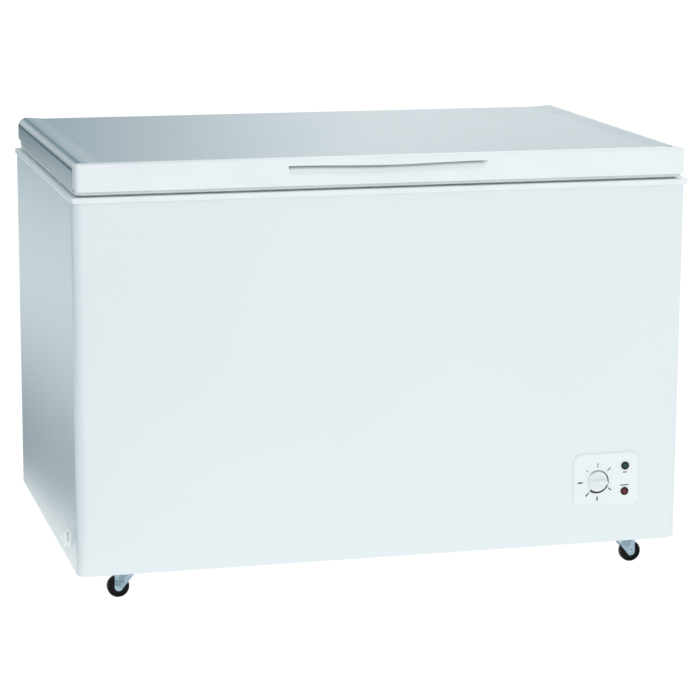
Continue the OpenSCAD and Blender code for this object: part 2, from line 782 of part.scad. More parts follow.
// Magnetic gasket: a band under the lid and the softer lip below it.
module lid_gasket() {
    color(white_plastic) difference() {
        ring_block(8, rim_z + 2, lid_z - 0.1, 20);
        ring_block(30, rim_z, lid_z + 1, 12);
    }
    color([0.55, 0.57, 0.58]) difference() {
        ring_block(14, rim_z + run, rim_z + 2.1, 16);
        ring_block(26, rim_z, rim_z + 3, 12);
    }
}

// ---- hinges ----

pivot_y = back_y + pivot_back;
pivot_z = rim_z + 15;
cam_base = 9;
cam_drop = 18;
leaf_half = 18;
ear_t = 2;
pin_r = 3;
plunger_z = pivot_z - cam_drop - run;
spring_y = back_y + 12;
spring_r = 7.6;
spring_wire = 1.3;
spring_z0 = pivot_z - 130;
spring_z1 = plunger_z - 6;

// Spring housing on the cabinet's back, with the two ears that hold the pin.
module hinge_bracket(x) {
    low = spring_z0 - 8;
    color(zinc) translate([x, 0, 0]) difference() {
        union() {
            translate([-34, back_y + 0.1, low]) cube([68, 1.5, pivot_z - 6 - low]);
            for (s = [-1, 1]) translate([s > 0 ? leaf_half + run : -leaf_half - run - ear_t, 0, 0]) {
                facing_side(0, ear_t) polygon([[back_y + 0.1, low], [back_y + 24, low],
                    [pivot_y + ear_r, low + 26], [pivot_y + ear_r, pivot_z], [pivot_y - ear_r, pivot_z],
                    [back_y + 16, pivot_z - 6], [back_y + 0.1, pivot_z - 6]]);
                translate([0, pivot_y, pivot_z]) along_x(0, ear_t, ear_r);
            }
            translate([-leaf_half - 1, back_y + 0.1, spring_z0 - 2]) cube([2 * leaf_half + 2, 24, 2]);
        }
        translate([0, pivot_y, pivot_z]) along_x(-30, 30, pin_r + fit);
        for (s = [-1, 1], z = [low + 20, pivot_z - 30])
            translate([s * 27, 0, z]) along_y(back_y - 1, back_y + 3, 2.4);
    }
}

// Points of the cam that lifts evenly as the lid turns.
function cam_points() = [for (a = [0:8:lid_open])
    let (drop = cam_drop - cam_base * a * PI / 180)
    [pivot_y - cam_base * cos(a) + drop * sin(a), pivot_z - cam_base * sin(a) - drop * cos(a)]];

// Leaf on the lid's rear wall, with its knuckle and the cam that bears on the plunger.
module hinge_leaf(x) {
    y = lid_rear + 0.2;
    color(zinc) translate([x, 0, 0]) difference() {
        union() {
            translate([-leaf_half, y, pivot_z - 2]) cube([2 * leaf_half, 2.5, trim_top - 8 - pivot_z]);
            translate([0, pivot_y, pivot_z]) along_x(-leaf_half, leaf_half, 6.5);
            facing_side(-7, 7) polygon(concat(cam_points(), [[pivot_y + 6, pivot_z - 1],
                [pivot_y - 5, pivot_z + 2], [pivot_y - 10.5, pivot_z - 14.5]]));
        }
        translate([0, pivot_y, pivot_z]) along_x(-30, 30, pin_r + fit);
        for (p = leaf_holes) translate([p[0], 0, pivot_z + p[1]]) along_y(y - 1, y + 4, 2.4);
    }
}

leaf_holes = [[-11, 16], [11, 16], [0, 31]];

// Both hinge pins, headed at each end.
module hinge_pins() {
    out = leaf_half + run + ear_t;
    color(zinc) for (x = [-hinge_x, hinge_x]) translate([x, pivot_y, pivot_z]) {
        along_x(-out - 2, out + 2, pin_r);
        for (s = [-1, 1]) along_x(s > 0 ? out + 0.1 : -out - 2.1, s > 0 ? out + 2.1 : -out - 0.1, 5);
    }
}

// Plunger that the cam presses down on the spring.
module hinge_plunger(x) {
    color(black) translate([x, 0, 0]) {
        translate([-leaf_half + 0.5, back_y + 4, spring_z1]) cube([2 * leaf_half - 1, 12.8, 6]);
        translate([0, spring_y, spring_z1 - 34]) cylinder(h = 35, r = 5.4);
    }
}

// Compression spring under the plunger.
module hinge_spring(x) {
    turns = 12;
    steps = 12;
    low = spring_z0 + spring_wire + 0.2;
    high = spring_z1 - spring_wire - 0.2;
    coil = [for (i = [0:turns * steps]) let (a = 360 * i / steps)
        [x + spring_r * cos(a), spring_y + spring_r * sin(a), low + (high - low) * i / (turns * steps)]];
    color([0.35, 0.36, 0.38]) tube(coil, spring_wire, 6, [0, 0, 1]);
}

// Screws that hold the hinge brackets and the rear cover.
module cabinet_screws() {
    low = spring_z0 - 8;
    color(zinc) {
        for (x = [-hinge_x, hinge_x], s = [-1, 1], z = [low + 20, pivot_z - 30])
            translate([x + s * 27, back_y + 1.8, z]) rotate([-90, 0, 0]) screw();
        for (x = [comp_x + 10, half_w - 10], z = [base_z + 12, base_z + comp_h - 10])
            translate([x, cover_y + 1.2, z]) rotate([-90, 0, 0]) screw(4, 1.8, 8);
    }
}

// Screws that hold the hinge leaves to the lid.
module lid_screws() {
    color(zinc) for (x = [-hinge_x, hinge_x], p = leaf_holes)
        translate([x + p[0], lid_rear + 2.9, pivot_z + p[1]]) rotate([-90, 0, 0]) screw(4.2, 2.2, 14);
}

// ---- basket ----

bask_x1 = cav_x - 22;
bask_x0 = bask_x1 - basket_l;
rail_in = ledge_out + 8;
rail_z = ledge_z + run;
bask_in = wall_t + 10;
bask_z = rail_z - basket_h;
wire = 3;

// Wire basket that hangs on the ledge by its two long rails.
module basket() {
    rail_y0 = front_y + rail_in;
    rail_y1 = back_y - rail_in;
    y0 = front_y + bask_in;
    y1 = back_y - bask_in;
    nx = 6;
    ny = 11;
    color([0.92, 0.93, 0.94]) {
        for (y = [rail_y0, rail_y1 - 5]) translate([bask_x0, y, rail_z]) cube([basket_l, 5, 5]);
        for (x = [bask_x0, bask_x1 - 5]) translate([x, rail_y0, rail_z]) cube([5, rail_y1 - rail_y0, 5]);
        for (i = [0:nx]) translate([bask_x0 + 1 + (basket_l - 2 - wire) * i / nx, 0, 0]) {
            translate([0, y0, bask_z]) cube([wire, y1 - y0, wire]);
            for (y = [y0, y1 - wire]) translate([0, y, bask_z]) cube([wire, wire, basket_h + 3]);
            translate([0, rail_y0 + 1, rail_z + 1]) cube([wire, y0 - rail_y0 + 2, wire]);
            translate([0, y1 - 3, rail_z + 1]) cube([wire, rail_y1 - y1 + 2, wire]);
        }
        for (j = [0:ny]) translate([0, y0 + (y1 - y0 - wire) * j / ny, 0]) {
            translate([bask_x0 + 1, 0, bask_z]) cube([basket_l - 2, wire, wire]);
            for (x = [bask_x0 + 1, bask_x1 - 1 - wire]) translate([x, 0, bask_z]) cube([wire, wire, basket_h + 3]);
        }
        for (z = [bask_z + basket_h / 3, bask_z + basket_h * 2 / 3]) difference() {
            translate([bask_x0 + 0.5, y0 - 0.5, z]) cube([basket_l - 1, y1 - y0 + 1, wire]);
            translate([bask_x0 + 3.5, y0 + 2.5, z - 1]) cube([basket_l - 7, y1 - y0 - 5, wire + 2]);
        }
    }
}

// ---- casters ----

// Name, side and end of each corner: -1 is left or front, 1 is right or rear.
CORNERS = [["fl", -1, -1], ["fr", 1, -1], ["rl", -1, 1], ["rr", 1, 1]];
plate_w = 66;
plate_d = 56;
plate_t = 2.2;
race_h = 2.4;
crown_t = 2.1;
crown_z = base_z - plate_t - race_h - run - crown_t;
kingpin_r = 4;
axle_r = 3;
fork_in = wheel_w / 2 + 1;

// Puts its child at a corner's swivel axis, with +X turned outwards.
module at_corner(c) {
    translate([c[1] * (half_w - caster_side), c[2] > 0 ? back_y - caster_in : front_y + caster_in, 0])
        mirror([c[1] < 0 ? 1 : 0, 0, 0]) children();
}

// Screw places on one caster plate.
module at_plate_holes() {
    for (x = [-1, 1], y = [-1, 1]) translate([x * (plate_w / 2 - 7), y * (plate_d / 2 - 7), 0]) children();
}

// Top plates with their ball races and kingpins.
module caster_plates() {
    color(zinc) for (c = CORNERS) at_corner(c) {
        difference() {
            translate([0, 0, base_z - plate_t]) linear_extrude(plate_t) round_rect(plate_w, plate_d, 5);
            at_plate_holes() translate([0, 0, base_z - 5]) cylinder(h = 8, r = 2.4);
        }
        translate([0, 0, base_z - plate_t - race_h]) cylinder(h = race_h + 0.5, r = 20);
        translate([0, 0, crown_z - 1.5]) cylinder(h = race_h + crown_t + 3, r = kingpin_r);
        translate([0, 0, crown_z - 1.8]) cylinder(h = 1.5, r = 6.5);
    }
}

// Screws that hold the plates to the base pan.
module caster_screws() {
    color(zinc) for (c = CORNERS) at_corner(c) at_plate_holes()
        translate([0, 0, base_z - plate_t - 0.1]) rotate([180, 0, 0]) screw(4.4, 2.2, 12);
}

// Pressed fork: a round crown and two ears that slope in from the front edge.
module caster_fork(c) {
    outer = trail + 8;
    color(zinc) at_corner(c) difference() {
        union() {
            translate([0, 0, crown_z]) cylinder(h = crown_t, r = 21);
            for (s = [-1, 1]) {
                y = s > 0 ? fork_in : -fork_in - 2;
                facing_front(y, y + 2) polygon([[-20, crown_z + crown_t], [outer, crown_z + crown_t],
                    [outer, wheel_r], [trail, wheel_r], [trail - 5.7, wheel_r - 5.7]]);
                translate([trail, 0, wheel_r]) along_y(y, y + 2, 8);
            }
        }
        translate([0, 0, crown_z - 1]) cylinder(h = 6, r = kingpin_r + fit);
        translate([trail, 0, wheel_r]) along_y(-20, 20, axle_r + fit);
    }
}

// Solid black wheel with a raised tread and a bored hub.
module caster_wheel(c) {
    w = wheel_w / 2;
    profile = [[axle_r + fit, -w - 0.4], [7, -w - 0.4], [8, -w + 2], [wheel_r - 6, -w + 2],
        [wheel_r - 4, -w], [wheel_r - 2, -w], [wheel_r, -w + 2.5], [wheel_r, w - 2.5],
        [wheel_r - 2, w], [wheel_r - 4, w], [wheel_r - 6, w - 2], [8, w - 2], [7, w + 0.4],
        [axle_r + fit, w + 0.4]];
    color(black) at_corner(c) translate([trail, 0, wheel_r]) rotate([90, 0, 0])
        rotate_extrude() polygon(profile);
}

// Riveted axle.
module caster_axle(c) {
    out = fork_in + 2.1;
    color(zinc) at_corner(c) translate([trail, 0, wheel_r]) {
        along_y(-out - 1, out + 1, axle_r);
        for (s = [-1, 1]) along_y(s > 0 ? out : -out - 1.6, s > 0 ? out + 1.6 : -out, 5);
    }
}

cabinet_wrap();
back_panel();
base_pan();
top_collar();
inner_liner();
cabinet_foam();
compartment_wall();
evaporator_coil();
condenser_coil();
compressor();
compressor_tray();
compressor_grommets();
compressor_bolts();
start_relay();
filter_drier();
refrigerant_pipes();
side_grille();
rear_cover();
cord_gland();
thermostat();
thermostat_spindle();
thermostat_bulb();
control_panel();
knob();
green_lamp();
red_lamp();
drain_spout();
drain_cap();
drain_plug();
lid_skin();
lid_front_trim();
lid_liner();
lid_foam();
lid_gasket();
hinge_pins();
cabinet_screws();
lid_screws();
basket();
caster_plates();
caster_screws();
for (h = [["left", -hinge_x], ["right", hinge_x]]) {
    hinge_bracket(h[1]);
    hinge_leaf(h[1]);
    hinge_plunger(h[1]);
    hinge_spring(h[1]);
}
for (c = CORNERS) {
    caster_fork(c);
    caster_wheel(c);
    caster_axle(c);
}
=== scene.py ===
"""Looks of a chest freezer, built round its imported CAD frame.

Each operator makes one piece or a group of like pieces. Lengths inside the surface functions are in
millimetres, in the frame's own axes: +X to the right, +Y to the back, +Z up from the floor.
"""

import math

import bmesh
import bpy
import numpy as np
from mathutils import Matrix, Vector


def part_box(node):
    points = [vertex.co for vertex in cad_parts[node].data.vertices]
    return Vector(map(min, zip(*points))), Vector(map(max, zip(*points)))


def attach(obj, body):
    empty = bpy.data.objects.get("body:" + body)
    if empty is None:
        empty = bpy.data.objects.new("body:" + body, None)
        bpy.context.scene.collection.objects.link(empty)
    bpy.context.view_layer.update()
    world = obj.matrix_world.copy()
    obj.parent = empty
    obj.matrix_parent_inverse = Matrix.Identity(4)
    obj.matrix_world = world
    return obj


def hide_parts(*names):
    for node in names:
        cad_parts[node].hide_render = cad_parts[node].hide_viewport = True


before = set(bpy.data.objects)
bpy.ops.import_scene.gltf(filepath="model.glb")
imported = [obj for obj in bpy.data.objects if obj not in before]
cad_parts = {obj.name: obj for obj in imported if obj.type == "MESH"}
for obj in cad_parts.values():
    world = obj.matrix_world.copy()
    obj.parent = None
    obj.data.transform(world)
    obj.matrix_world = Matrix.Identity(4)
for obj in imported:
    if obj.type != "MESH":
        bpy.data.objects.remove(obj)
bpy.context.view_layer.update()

bl_info = {
    "name": "Chest Freezer",
    "version": (1, 0, 0),
    "blender": (4, 5, 0),
    "location": "View3D > Sidebar > Freezer",
    "description": "Builds the visible pieces of a chest freezer on its CAD frame",
    "category": "Object",
}


def cad(node):
    """Lowest and highest corner of a CAD node, in millimetres."""
    lo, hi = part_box(node)
    return np.array(lo) * 1000, np.array(hi) * 1000


# ---- surfaces ----


def grid(points, close_u=False, close_v=False, cap_start=False, cap_end=False):
    """Vertices and faces of a grid of points: quads between neighbouring lines.

    A closed direction joins its last line to its first, and a cap closes the first or last line of u.
    """
    nu, nv = points.shape[:2]
    u = np.arange(nu if close_u else nu - 1)[:, None]
    v = np.arange(nv if close_v else nv - 1)[None, :]
    u1, v1 = (u + 1) % nu, (v + 1) % nv
    quads = np.stack([u * nv + v, u * nv + v1, u1 * nv + v1, u1 * nv + v], axis=-1).reshape(-1, 4)
    faces = quads.tolist()
    if cap_start:
        faces.append(list(range(nv - 1, -1, -1)))
    if cap_end:
        faces.append(list(range((nu - 1) * nv, nu * nv)))
    return points.reshape(-1, 3), faces


def together(*parts):
    """Several (vertices, faces) pairs as one pair."""
    verts, faces, start = [], [], 0
    for v, f in parts:
        verts.append(v)
        faces += [[i + start for i in face] for face in f]
        start += len(v)
    return np.concatenate(verts), faces


def moved(part, offset):
    """A (vertices, faces) pair shifted by offset."""
    return part[0] + np.asarray(offset, float), part[1]


def turned(part, axis):
    """A (vertices, faces) pair whose own +Z is laid along +X, +Y, -X or -Y."""
    x, y, z = part[0].T
    lay = {"+X": (z, y, -x), "-X": (-z, y, x), "+Y": (x, z, -y), "-Y": (x, -z, y)}[axis]
    return np.stack(lay, axis=-1), part[1]


def lathe(profile, sides=64, around=0.0):
    """A profile of (radius, height) turned about Z: x = r cos a, y = r sin a, z = h."""
    p = np.asarray(profile, float)
    a = around + np.linspace(0, 2 * np.pi, sides, endpoint=False)[:, None]
    pts = np.stack([p[:, 0] * np.cos(a), p[:, 0] * np.sin(a), p[:, 1] + 0 * a], axis=-1)
    return grid(pts, close_u=True)


def corner(cx, cy, r, a0, a1, n=6):
    """Points of a round corner: centre plus r times (cos a, sin a), a running from a0 to a1 degrees."""
    a = np.radians(np.linspace(a0, a1, n + 1))
    return np.stack([cx + r * np.cos(a), cy + r * np.sin(a)], axis=-1)


def outline(x0, x1, y0, y1, rf, rb, n=10):
    """Closed plan of a rectangle, anticlockwise from above, with front corners rf and rear corners rb."""
    return np.concatenate([
        corner(x0 + rf, y0 + rf, rf, 180, 270, n), corner(x1 - rf, y0 + rf, rf, 270, 360, n),
        corner(x1 - rb, y1 - rb, rb, 0, 90, n), corner(x0 + rb, y1 - rb, rb, 90, 180, n)])


def rings(rows, n=10):
    """Grid of outlines at heights: each row is (x0, x1, y0, y1, front radius, rear radius, z)."""
    return np.stack([np.column_stack([outline(*row[:6], n), np.full(4 * (n + 1), row[6])]) for row in rows])


def around(box, rows, n=10):
    """Grid of outlines inset from a box (x0, x1, y0, y1): each row is (inset, radius, z)."""
    x0, x1, y0, y1 = box
    return rings([(x0 + d, x1 - d, y0 + d, y1 - d, r, r, z) for d, r, z in rows], n)


def rod(path, r, sides=10, closed=False, up=(0, 0, 1)):
    """Tube along a path: at each point a circle of radius r spanned by the side and lift directions.

    The side direction is the path's direction crossed with up, and the lift direction is the side
    direction crossed with the path's direction.
    """
    p = np.asarray(path, float)
    t = np.roll(p, -1, 0) - np.roll(p, 1, 0) if closed else np.gradient(p, axis=0)
    t /= np.linalg.norm(t, axis=1)[:, None]
    side = np.cross(t, np.asarray(up, float))
    side /= np.linalg.norm(side, axis=1)[:, None]
    lift = np.cross(side, t)
    a = np.linspace(0, 2 * np.pi, sides, endpoint=False)
    pts = p[:, None] + r * (np.cos(a)[None, :, None] * side[:, None] + np.sin(a)[None, :, None] * lift[:, None])
    return grid(pts, close_u=closed, close_v=True, cap_start=not closed, cap_end=not closed)


def bent(corners, r, n=5):
    """A path through corners, each inner one replaced by a quadratic curve that starts and ends r from it."""
    c = np.asarray(corners, float)
    a, b, d = c[:-2], c[1:-1], c[2:]
    ua = (a - b) / np.linalg.norm(a - b, axis=1)[:, None]
    ud = (d - b) / np.linalg.norm(d - b, axis=1)[:, None]
    t = np.linspace(0, 1, n + 1)[None, :, None]
    p, q, s = (b + r * ua)[:, None], b[:, None], (b + r * ud)[:, None]
    curve = (1 - t) ** 2 * p + 2 * t * (1 - t) * q + t ** 2 * s
    return np.concatenate([c[:1], curve.reshape(-1, 3), c[-1:]])


def smooth(x):
    """0 below 0, 1 above 1, and 3x^2 - 2x^3 between."""
    x = np.clip(x, 0, 1)
    return x * x * (3 - 2 * x)


def piece(name, part, material, body, replaces=(), sharp=35, recalc=True):
    """Puts a (vertices, faces) pair in millimetres into a mesh object that rides on a body."""
    verts, faces = part
    mesh = bpy.data.meshes.new(name)
    mesh.from_pydata((verts * 0.001).tolist(), [], faces)
    obj = bpy.data.objects.new(name, mesh)
    bpy.context.scene.collection.objects.link(obj)
    finish_piece(obj, material, body, replaces, sharp, recalc)
    return weigh(obj) if recalc else obj


def finish_piece(obj, material, body, replaces, sharp, recalc=True):
    """Merges doubles, turns faces outwards, shades smooth below the sharp angle and gives the material."""
    mesh = obj.data
    bm = bmesh.new()
    bm.from_mesh(mesh)
    bmesh.ops.remove_doubles(bm, verts=bm.verts, dist=1e-6)
    bmesh.ops.dissolve_degenerate(bm, edges=bm.edges, dist=1e-7)
    if recalc:
        bmesh.ops.recalc_face_normals(bm, faces=bm.faces)
    bm.to_mesh(mesh)
    bm.free()
    mesh.polygons.foreach_set("use_smooth", np.ones(len(mesh.polygons), bool))
    mesh.set_sharp_from_angle(angle=math.radians(sharp))
    mesh.materials.clear()
    mesh.materials.append(material)
    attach(obj, body)
    if replaces:
        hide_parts(*replaces)
    return obj


def weigh(obj):
    """Lets the large faces set the shading, so that flat walls look flat right up to their rounded edges."""
    even = obj.modifiers.new("even", "WEIGHTED_NORMAL")
    even.keep_sharp = True
    even.weight = 90
    return obj


def thicken(obj, mm):
    """Gives an open sheet its thickness behind its face."""
    wall = obj.modifiers.new("wall", "SOLIDIFY")
    wall.thickness = mm * 0.001
    wall.offset = -1
    return weigh(obj)


def eased(node, name, material, body, width=0.6, segments=2, sharp=32):
    """A copy of a CAD node, merged and cleared of flat seams, with its edges rounded by a Bevel."""
    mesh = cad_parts[node].data.copy()
    mesh.name = name
    if hasattr(mesh, "free_normals_split"):
        mesh.free_normals_split()
    for layer in [a.name for a in mesh.attributes if a.name == "custom_normal"]:
        mesh.attributes.remove(mesh.attributes[layer])
    bm = bmesh.new()
    bm.from_mesh(mesh)
    bmesh.ops.remove_doubles(bm, verts=bm.verts, dist=2e-6)
    bmesh.ops.dissolve_limit(bm, angle_limit=math.radians(1.0), verts=bm.verts, edges=bm.edges)
    bm.to_mesh(mesh)
    bm.free()
    obj = bpy.data.objects.new(name, mesh)
    bpy.context.scene.collection.objects.link(obj)
    finish_piece(obj, material, body, (node,), sharp, recalc=False)
    if width:
        ease = obj.modifiers.new("ease", "BEVEL")
        ease.width = width * 0.001
        ease.segments = segments
        ease.limit_method = "ANGLE"
        ease.angle_limit = math.radians(sharp)
        ease.harden_normals = True
        ease.use_clamp_overlap = True
    return obj


# ---- shader expressions ----


class Wire:
    """A shader socket that takes part in Python expressions; each operator adds one Math node."""

    def __init__(self, paint, socket):
        self.paint, self.socket = paint, socket

    def math(self, operation, *others):
        return self.paint.node("ShaderNodeMath", {"operation": operation},
                               {i: v for i, v in enumerate((self, *others))})

    def __add__(self, other):
        return self.math("ADD", other)

    def __mul__(self, other):
        return self.math("MULTIPLY", other)

    def __sub__(self, other):
        return self.math("SUBTRACT", other)

    def __rsub__(self, other):
        return self.paint.node("ShaderNodeMath", {"operation": "SUBTRACT"}, {0: other, 1: self})

    __radd__ = __add__
    __rmul__ = __mul__


class Paint:
    """A material built from nodes, with a Principled shader ready to be given values or wires."""

    def __init__(self, name):
        self.material = bpy.data.materials.new(name)
        self.material.use_nodes = True
        self.tree = self.material.node_tree
        self.tree.nodes.clear()
        out = self.tree.nodes.new("ShaderNodeOutputMaterial")
        self.shader = self.tree.nodes.new("ShaderNodeBsdfPrincipled")
        self.tree.links.new(self.shader.outputs[0], out.inputs[0])

    def put(self, node, key, value):
        """Sets one socket of a node to a value, or links it to a wire."""
        socket = node.inputs[key]
        if isinstance(value, Wire):
            self.tree.links.new(value.socket, socket)
        elif hasattr(socket.default_value, "__len__") and len(value) == 3 and len(socket.default_value) == 4:
            socket.default_value = (*value, 1)
        else:
            socket.default_value = value

    def node(self, kind, settings=None, sockets=None, out=0):
        """Any node: its settings first, then the values or wires of its sockets; gives one output."""
        made = self.tree.nodes.new(kind)
        for key, value in (settings or {}).items():
            if key == "stops":
                ramp = made.color_ramp
                while len(ramp.elements) < len(value):
                    ramp.elements.new(0.5)
                for element, (place, tint) in zip(ramp.elements, value):
                    element.position, element.color = place, (*tint, 1)
            else:
                setattr(made, key, value)
        for key, value in (sockets or {}).items():
            self.put(made, key, value)
        return Wire(self, made.outputs[out])

    def where(self, scale=(1, 1, 1)):
        """Object coordinates in metres, stretched by scale."""
        place = self.node("ShaderNodeTexCoord", out="Object")
        return self.node("ShaderNodeMapping", None, {"Vector": place, "Scale": scale})

    def noise(self, scale, detail=2.0, rough=0.5, stretch=(1, 1, 1)):
        """Noise from 0 to 1 at scale cells a metre."""
        return self.node("ShaderNodeTexNoise", None,
                         {"Vector": self.where(stretch), "Scale": scale, "Detail": detail, "Roughness": rough})

    def cells(self, scale, out="Distance", feature="F1"):
        """Voronoi cells at scale cells a metre."""
        return self.node("ShaderNodeTexVoronoi", {"feature": feature},
                         {"Vector": self.where(), "Scale": scale}, out)

    def mix(self, amount, a, b):
        """Colour a where amount is 0 and colour b where it is 1."""
        return self.node("ShaderNodeMix", {"data_type": "RGBA"}, {0: amount, 6: a, 7: b}, 2)

    def between(self, value, low, high):
        """0 where value is under low, 1 over high, even between."""
        return self.node("ShaderNodeMapRange", {"clamp": True}, {"Value": value, "From Min": low, "From Max": high})

    def bump(self, height, strength, distance):
        """A Bump node for the Normal socket: distance in metres."""
        return self.node("ShaderNodeBump", None, {"Height": height, "Strength": strength, "Distance": distance})

    def finish(self, **sockets):
        """Gives the shader its sockets; underscores in names stand for spaces."""
        for key, value in sockets.items():
            self.put(self.shader, key.replace("_", " "), value)
        return self.material


# ---- finishes ----

PAINTS = {}


def make_paints(look):
    """Every finish of the freezer, kept by name in PAINTS."""
    def painted(name, tint, rough, coat, peel, gloss, coat_rough=0.08):
        """Baked enamel: orange peel in the coat and a faint drift in gloss."""
        p = Paint(name)
        skin = p.noise(330, 2.0, 0.45)
        drift = p.noise(3.0, 2.0)
        shade = p.mix(p.between(drift, 0.3, 0.7), tuple(c * 0.985 for c in tint), tint)
        return p.finish(Base_Color=shade, Roughness=p.noise(9, 3.0) * 0.06 + rough, Coat_Weight=coat,
                        Coat_Roughness=coat_rough, Specular_IOR_Level=gloss, Normal=p.bump(skin, peel, 0.00035))

    def moulded(name, tint, rough, grain, scale=1600, coat=0.0, gloss=0.5):
        """Moulded plastic or rubber: fine grain, and patches that are a little glossier."""
        p = Paint(name)
        return p.finish(Base_Color=p.mix(p.between(p.noise(14, 3.0), 0.3, 0.7), tuple(c * 0.96 for c in tint), tint),
                        Roughness=p.noise(40, 2.0) * 0.10 + rough - 0.05, Coat_Weight=coat, Coat_Roughness=0.1,
                        Specular_IOR_Level=gloss, Normal=p.bump(p.noise(scale, 2.0), grain, 0.0002))

    def metal(name, tint, rough, spangle, cells, draw=(1, 1, 1)):
        """Bare metal: crystal patches of two shades, drawing lines and a rough drift. With a spangle as large as the
        casters', the dark and bright patches are partly painted reflection.
        """
        p = Paint(name)
        patch = p.cells(cells, "Color")
        flat = p.node("ShaderNodeSeparateColor", None, {"Color": patch})
        line = p.noise(500, 3.0, 0.6, draw)
        dark = tuple(c * (1 - spangle) for c in tint)
        return p.finish(Base_Color=p.mix(flat * 0.7 + line * 0.3, dark, tint), Metallic=1.0,
                        Roughness=flat * 0.08 + p.noise(25, 3.0) * 0.12 + rough - 0.08,
                        Normal=p.bump(line, 0.15, 0.0001))

    PAINTS["enamel"] = painted("enamel", tuple(look.enamel), 0.30, 0.40, 0.10, 0.35, 0.20)
    # Lid sheet: a white lid coloured dark blue-grey, which is painted shade and painted reflection.
    PAINTS["lid_sheet_painted_shade"] = painted("lid_sheet_painted_shade", tuple(look.lid_sheet_painted_shade), 0.20, 0.7, 0.08, 0.5, 0.12)
    PAINTS["white"] = moulded("white_plastic", tuple(look.white), 0.34, 0.10, coat=0.15)
    whiter = tuple(min(c * 1.03, 1) for c in look.white)
    PAINTS["white_gloss"] = moulded("gloss_white_plastic", whiter, 0.22, 0.04, coat=0.35)
    PAINTS["cap"] = moulded("drain_white", (0.97, 0.98, 0.98), 0.14, 0.03, coat=1.0)
    PAINTS["ink"] = moulded("grey_print", (0.016, 0.019, 0.024), 0.5, 0.05, gloss=0.15)
    PAINTS["black"] = moulded("black_plastic", (0.010, 0.010, 0.012), 0.42, 0.25, 900, gloss=0.22)
    PAINTS["rubber"] = moulded("black_rubber", (0.022, 0.022, 0.023), 0.62, 0.45, 700)
    PAINTS["tread"] = moulded("caster_tread", (0.003, 0.003, 0.004), 0.40, 0.20, 800, gloss=0.16)
    PAINTS["gasket"] = moulded("soft_gasket", (0.80, 0.84, 0.86), 0.42, 0.10, 900)
    PAINTS["stopper"] = moulded("grey_rubber", (0.42, 0.45, 0.47), 0.6, 0.2, 900)
    PAINTS["zinc"] = metal("zinc_plate", (0.62, 0.68, 0.74), 0.30, 0.16, 420)
    # Caster zinc: large dark and bright patches, partly real spangle and partly painted reflection of dark and light
    # surroundings.
    PAINTS["caster_zinc"] = metal("zinc_spangle_and_painted_reflection", (0.52, 0.69, 0.80), 0.22, 0.75, 95)
    PAINTS["galvanised"] = metal("galvanised_sheet", (0.58, 0.62, 0.65), 0.38, 0.30, 110)
    PAINTS["steel"] = metal("plain_steel", (0.46, 0.47, 0.49), 0.34, 0.12, 600, (1, 1, 0.1))
    PAINTS["copper"] = metal("copper_tube", (0.72, 0.36, 0.22), 0.30, 0.30, 60)
    PAINTS["aluminium"] = metal("aluminium_tube", (0.72, 0.74, 0.76), 0.34, 0.15, 90)

    pot = Paint("compressor_paint")
    PAINTS["pot"] = pot.finish(
        Base_Color=pot.mix(pot.between(pot.noise(60, 4.0), 0.35, 0.75), (0.012, 0.012, 0.013), (0.03, 0.03, 0.032)),
        Roughness=pot.noise(120, 3.0) * 0.2 + 0.28, Coat_Weight=0.3,
        Normal=pot.bump(pot.noise(260, 3.0), 0.35, 0.0005))

    tub = Paint("stucco_liner")
    stucco = tub.cells(260, "Distance", "SMOOTH_F1")
    PAINTS["liner"] = tub.finish(
        Base_Color=tub.mix(tub.between(tub.noise(5, 2.0), 0.3, 0.7), (0.74, 0.77, 0.78), (0.79, 0.82, 0.83)),
        Roughness=tub.noise(30, 2.0) * 0.1 + 0.3, Coat_Weight=0.2, Normal=tub.bump(stucco, 0.35, 0.0008))

    foam = Paint("rigid_foam")
    pores = foam.cells(900)
    PAINTS["foam"] = foam.finish(
        Base_Color=foam.mix(foam.between(foam.noise(40, 4.0), 0.3, 0.7), (0.72, 0.60, 0.33), (0.82, 0.72, 0.46)),
        Roughness=foam.noise(200, 2.0) * 0.1 + 0.85, Normal=foam.bump(pores, 0.6, 0.0006))

    coated = Paint("coated_wire")
    PAINTS["wire"] = coated.finish(
        Base_Color=coated.mix(coated.between(coated.noise(30, 2.0), 0.3, 0.7), (0.78, 0.80, 0.81), (0.84, 0.86, 0.87)),
        Roughness=coated.noise(60, 2.0) * 0.1 + 0.25, Coat_Weight=0.5,
        Normal=coated.bump(coated.noise(500, 2.0), 0.15, 0.0003))

    def lens(name, deep, tint):
        """Tinted lens: fine facets under a clear face, in patches of two depths of the tint."""
        p = Paint(name)
        return p.finish(Base_Color=p.mix(p.between(p.noise(420, 2.0), 0.35, 0.7), deep, tint),
                        Roughness=p.noise(900, 1.0) * 0.06 + 0.10, Coat_Weight=0.25, Coat_Roughness=0.03,
                        Specular_IOR_Level=0.25, Normal=p.bump(p.cells(1500), 0.12, 0.0002))

    PAINTS["green"] = lens("green_lens", (0.002, 0.022, 0.016), (0.006, 0.09, 0.06))
    PAINTS["red"] = lens("red_lens", (0.05, 0.002, 0.002), (0.22, 0.008, 0.008))


# ---- shapes of the pieces ----


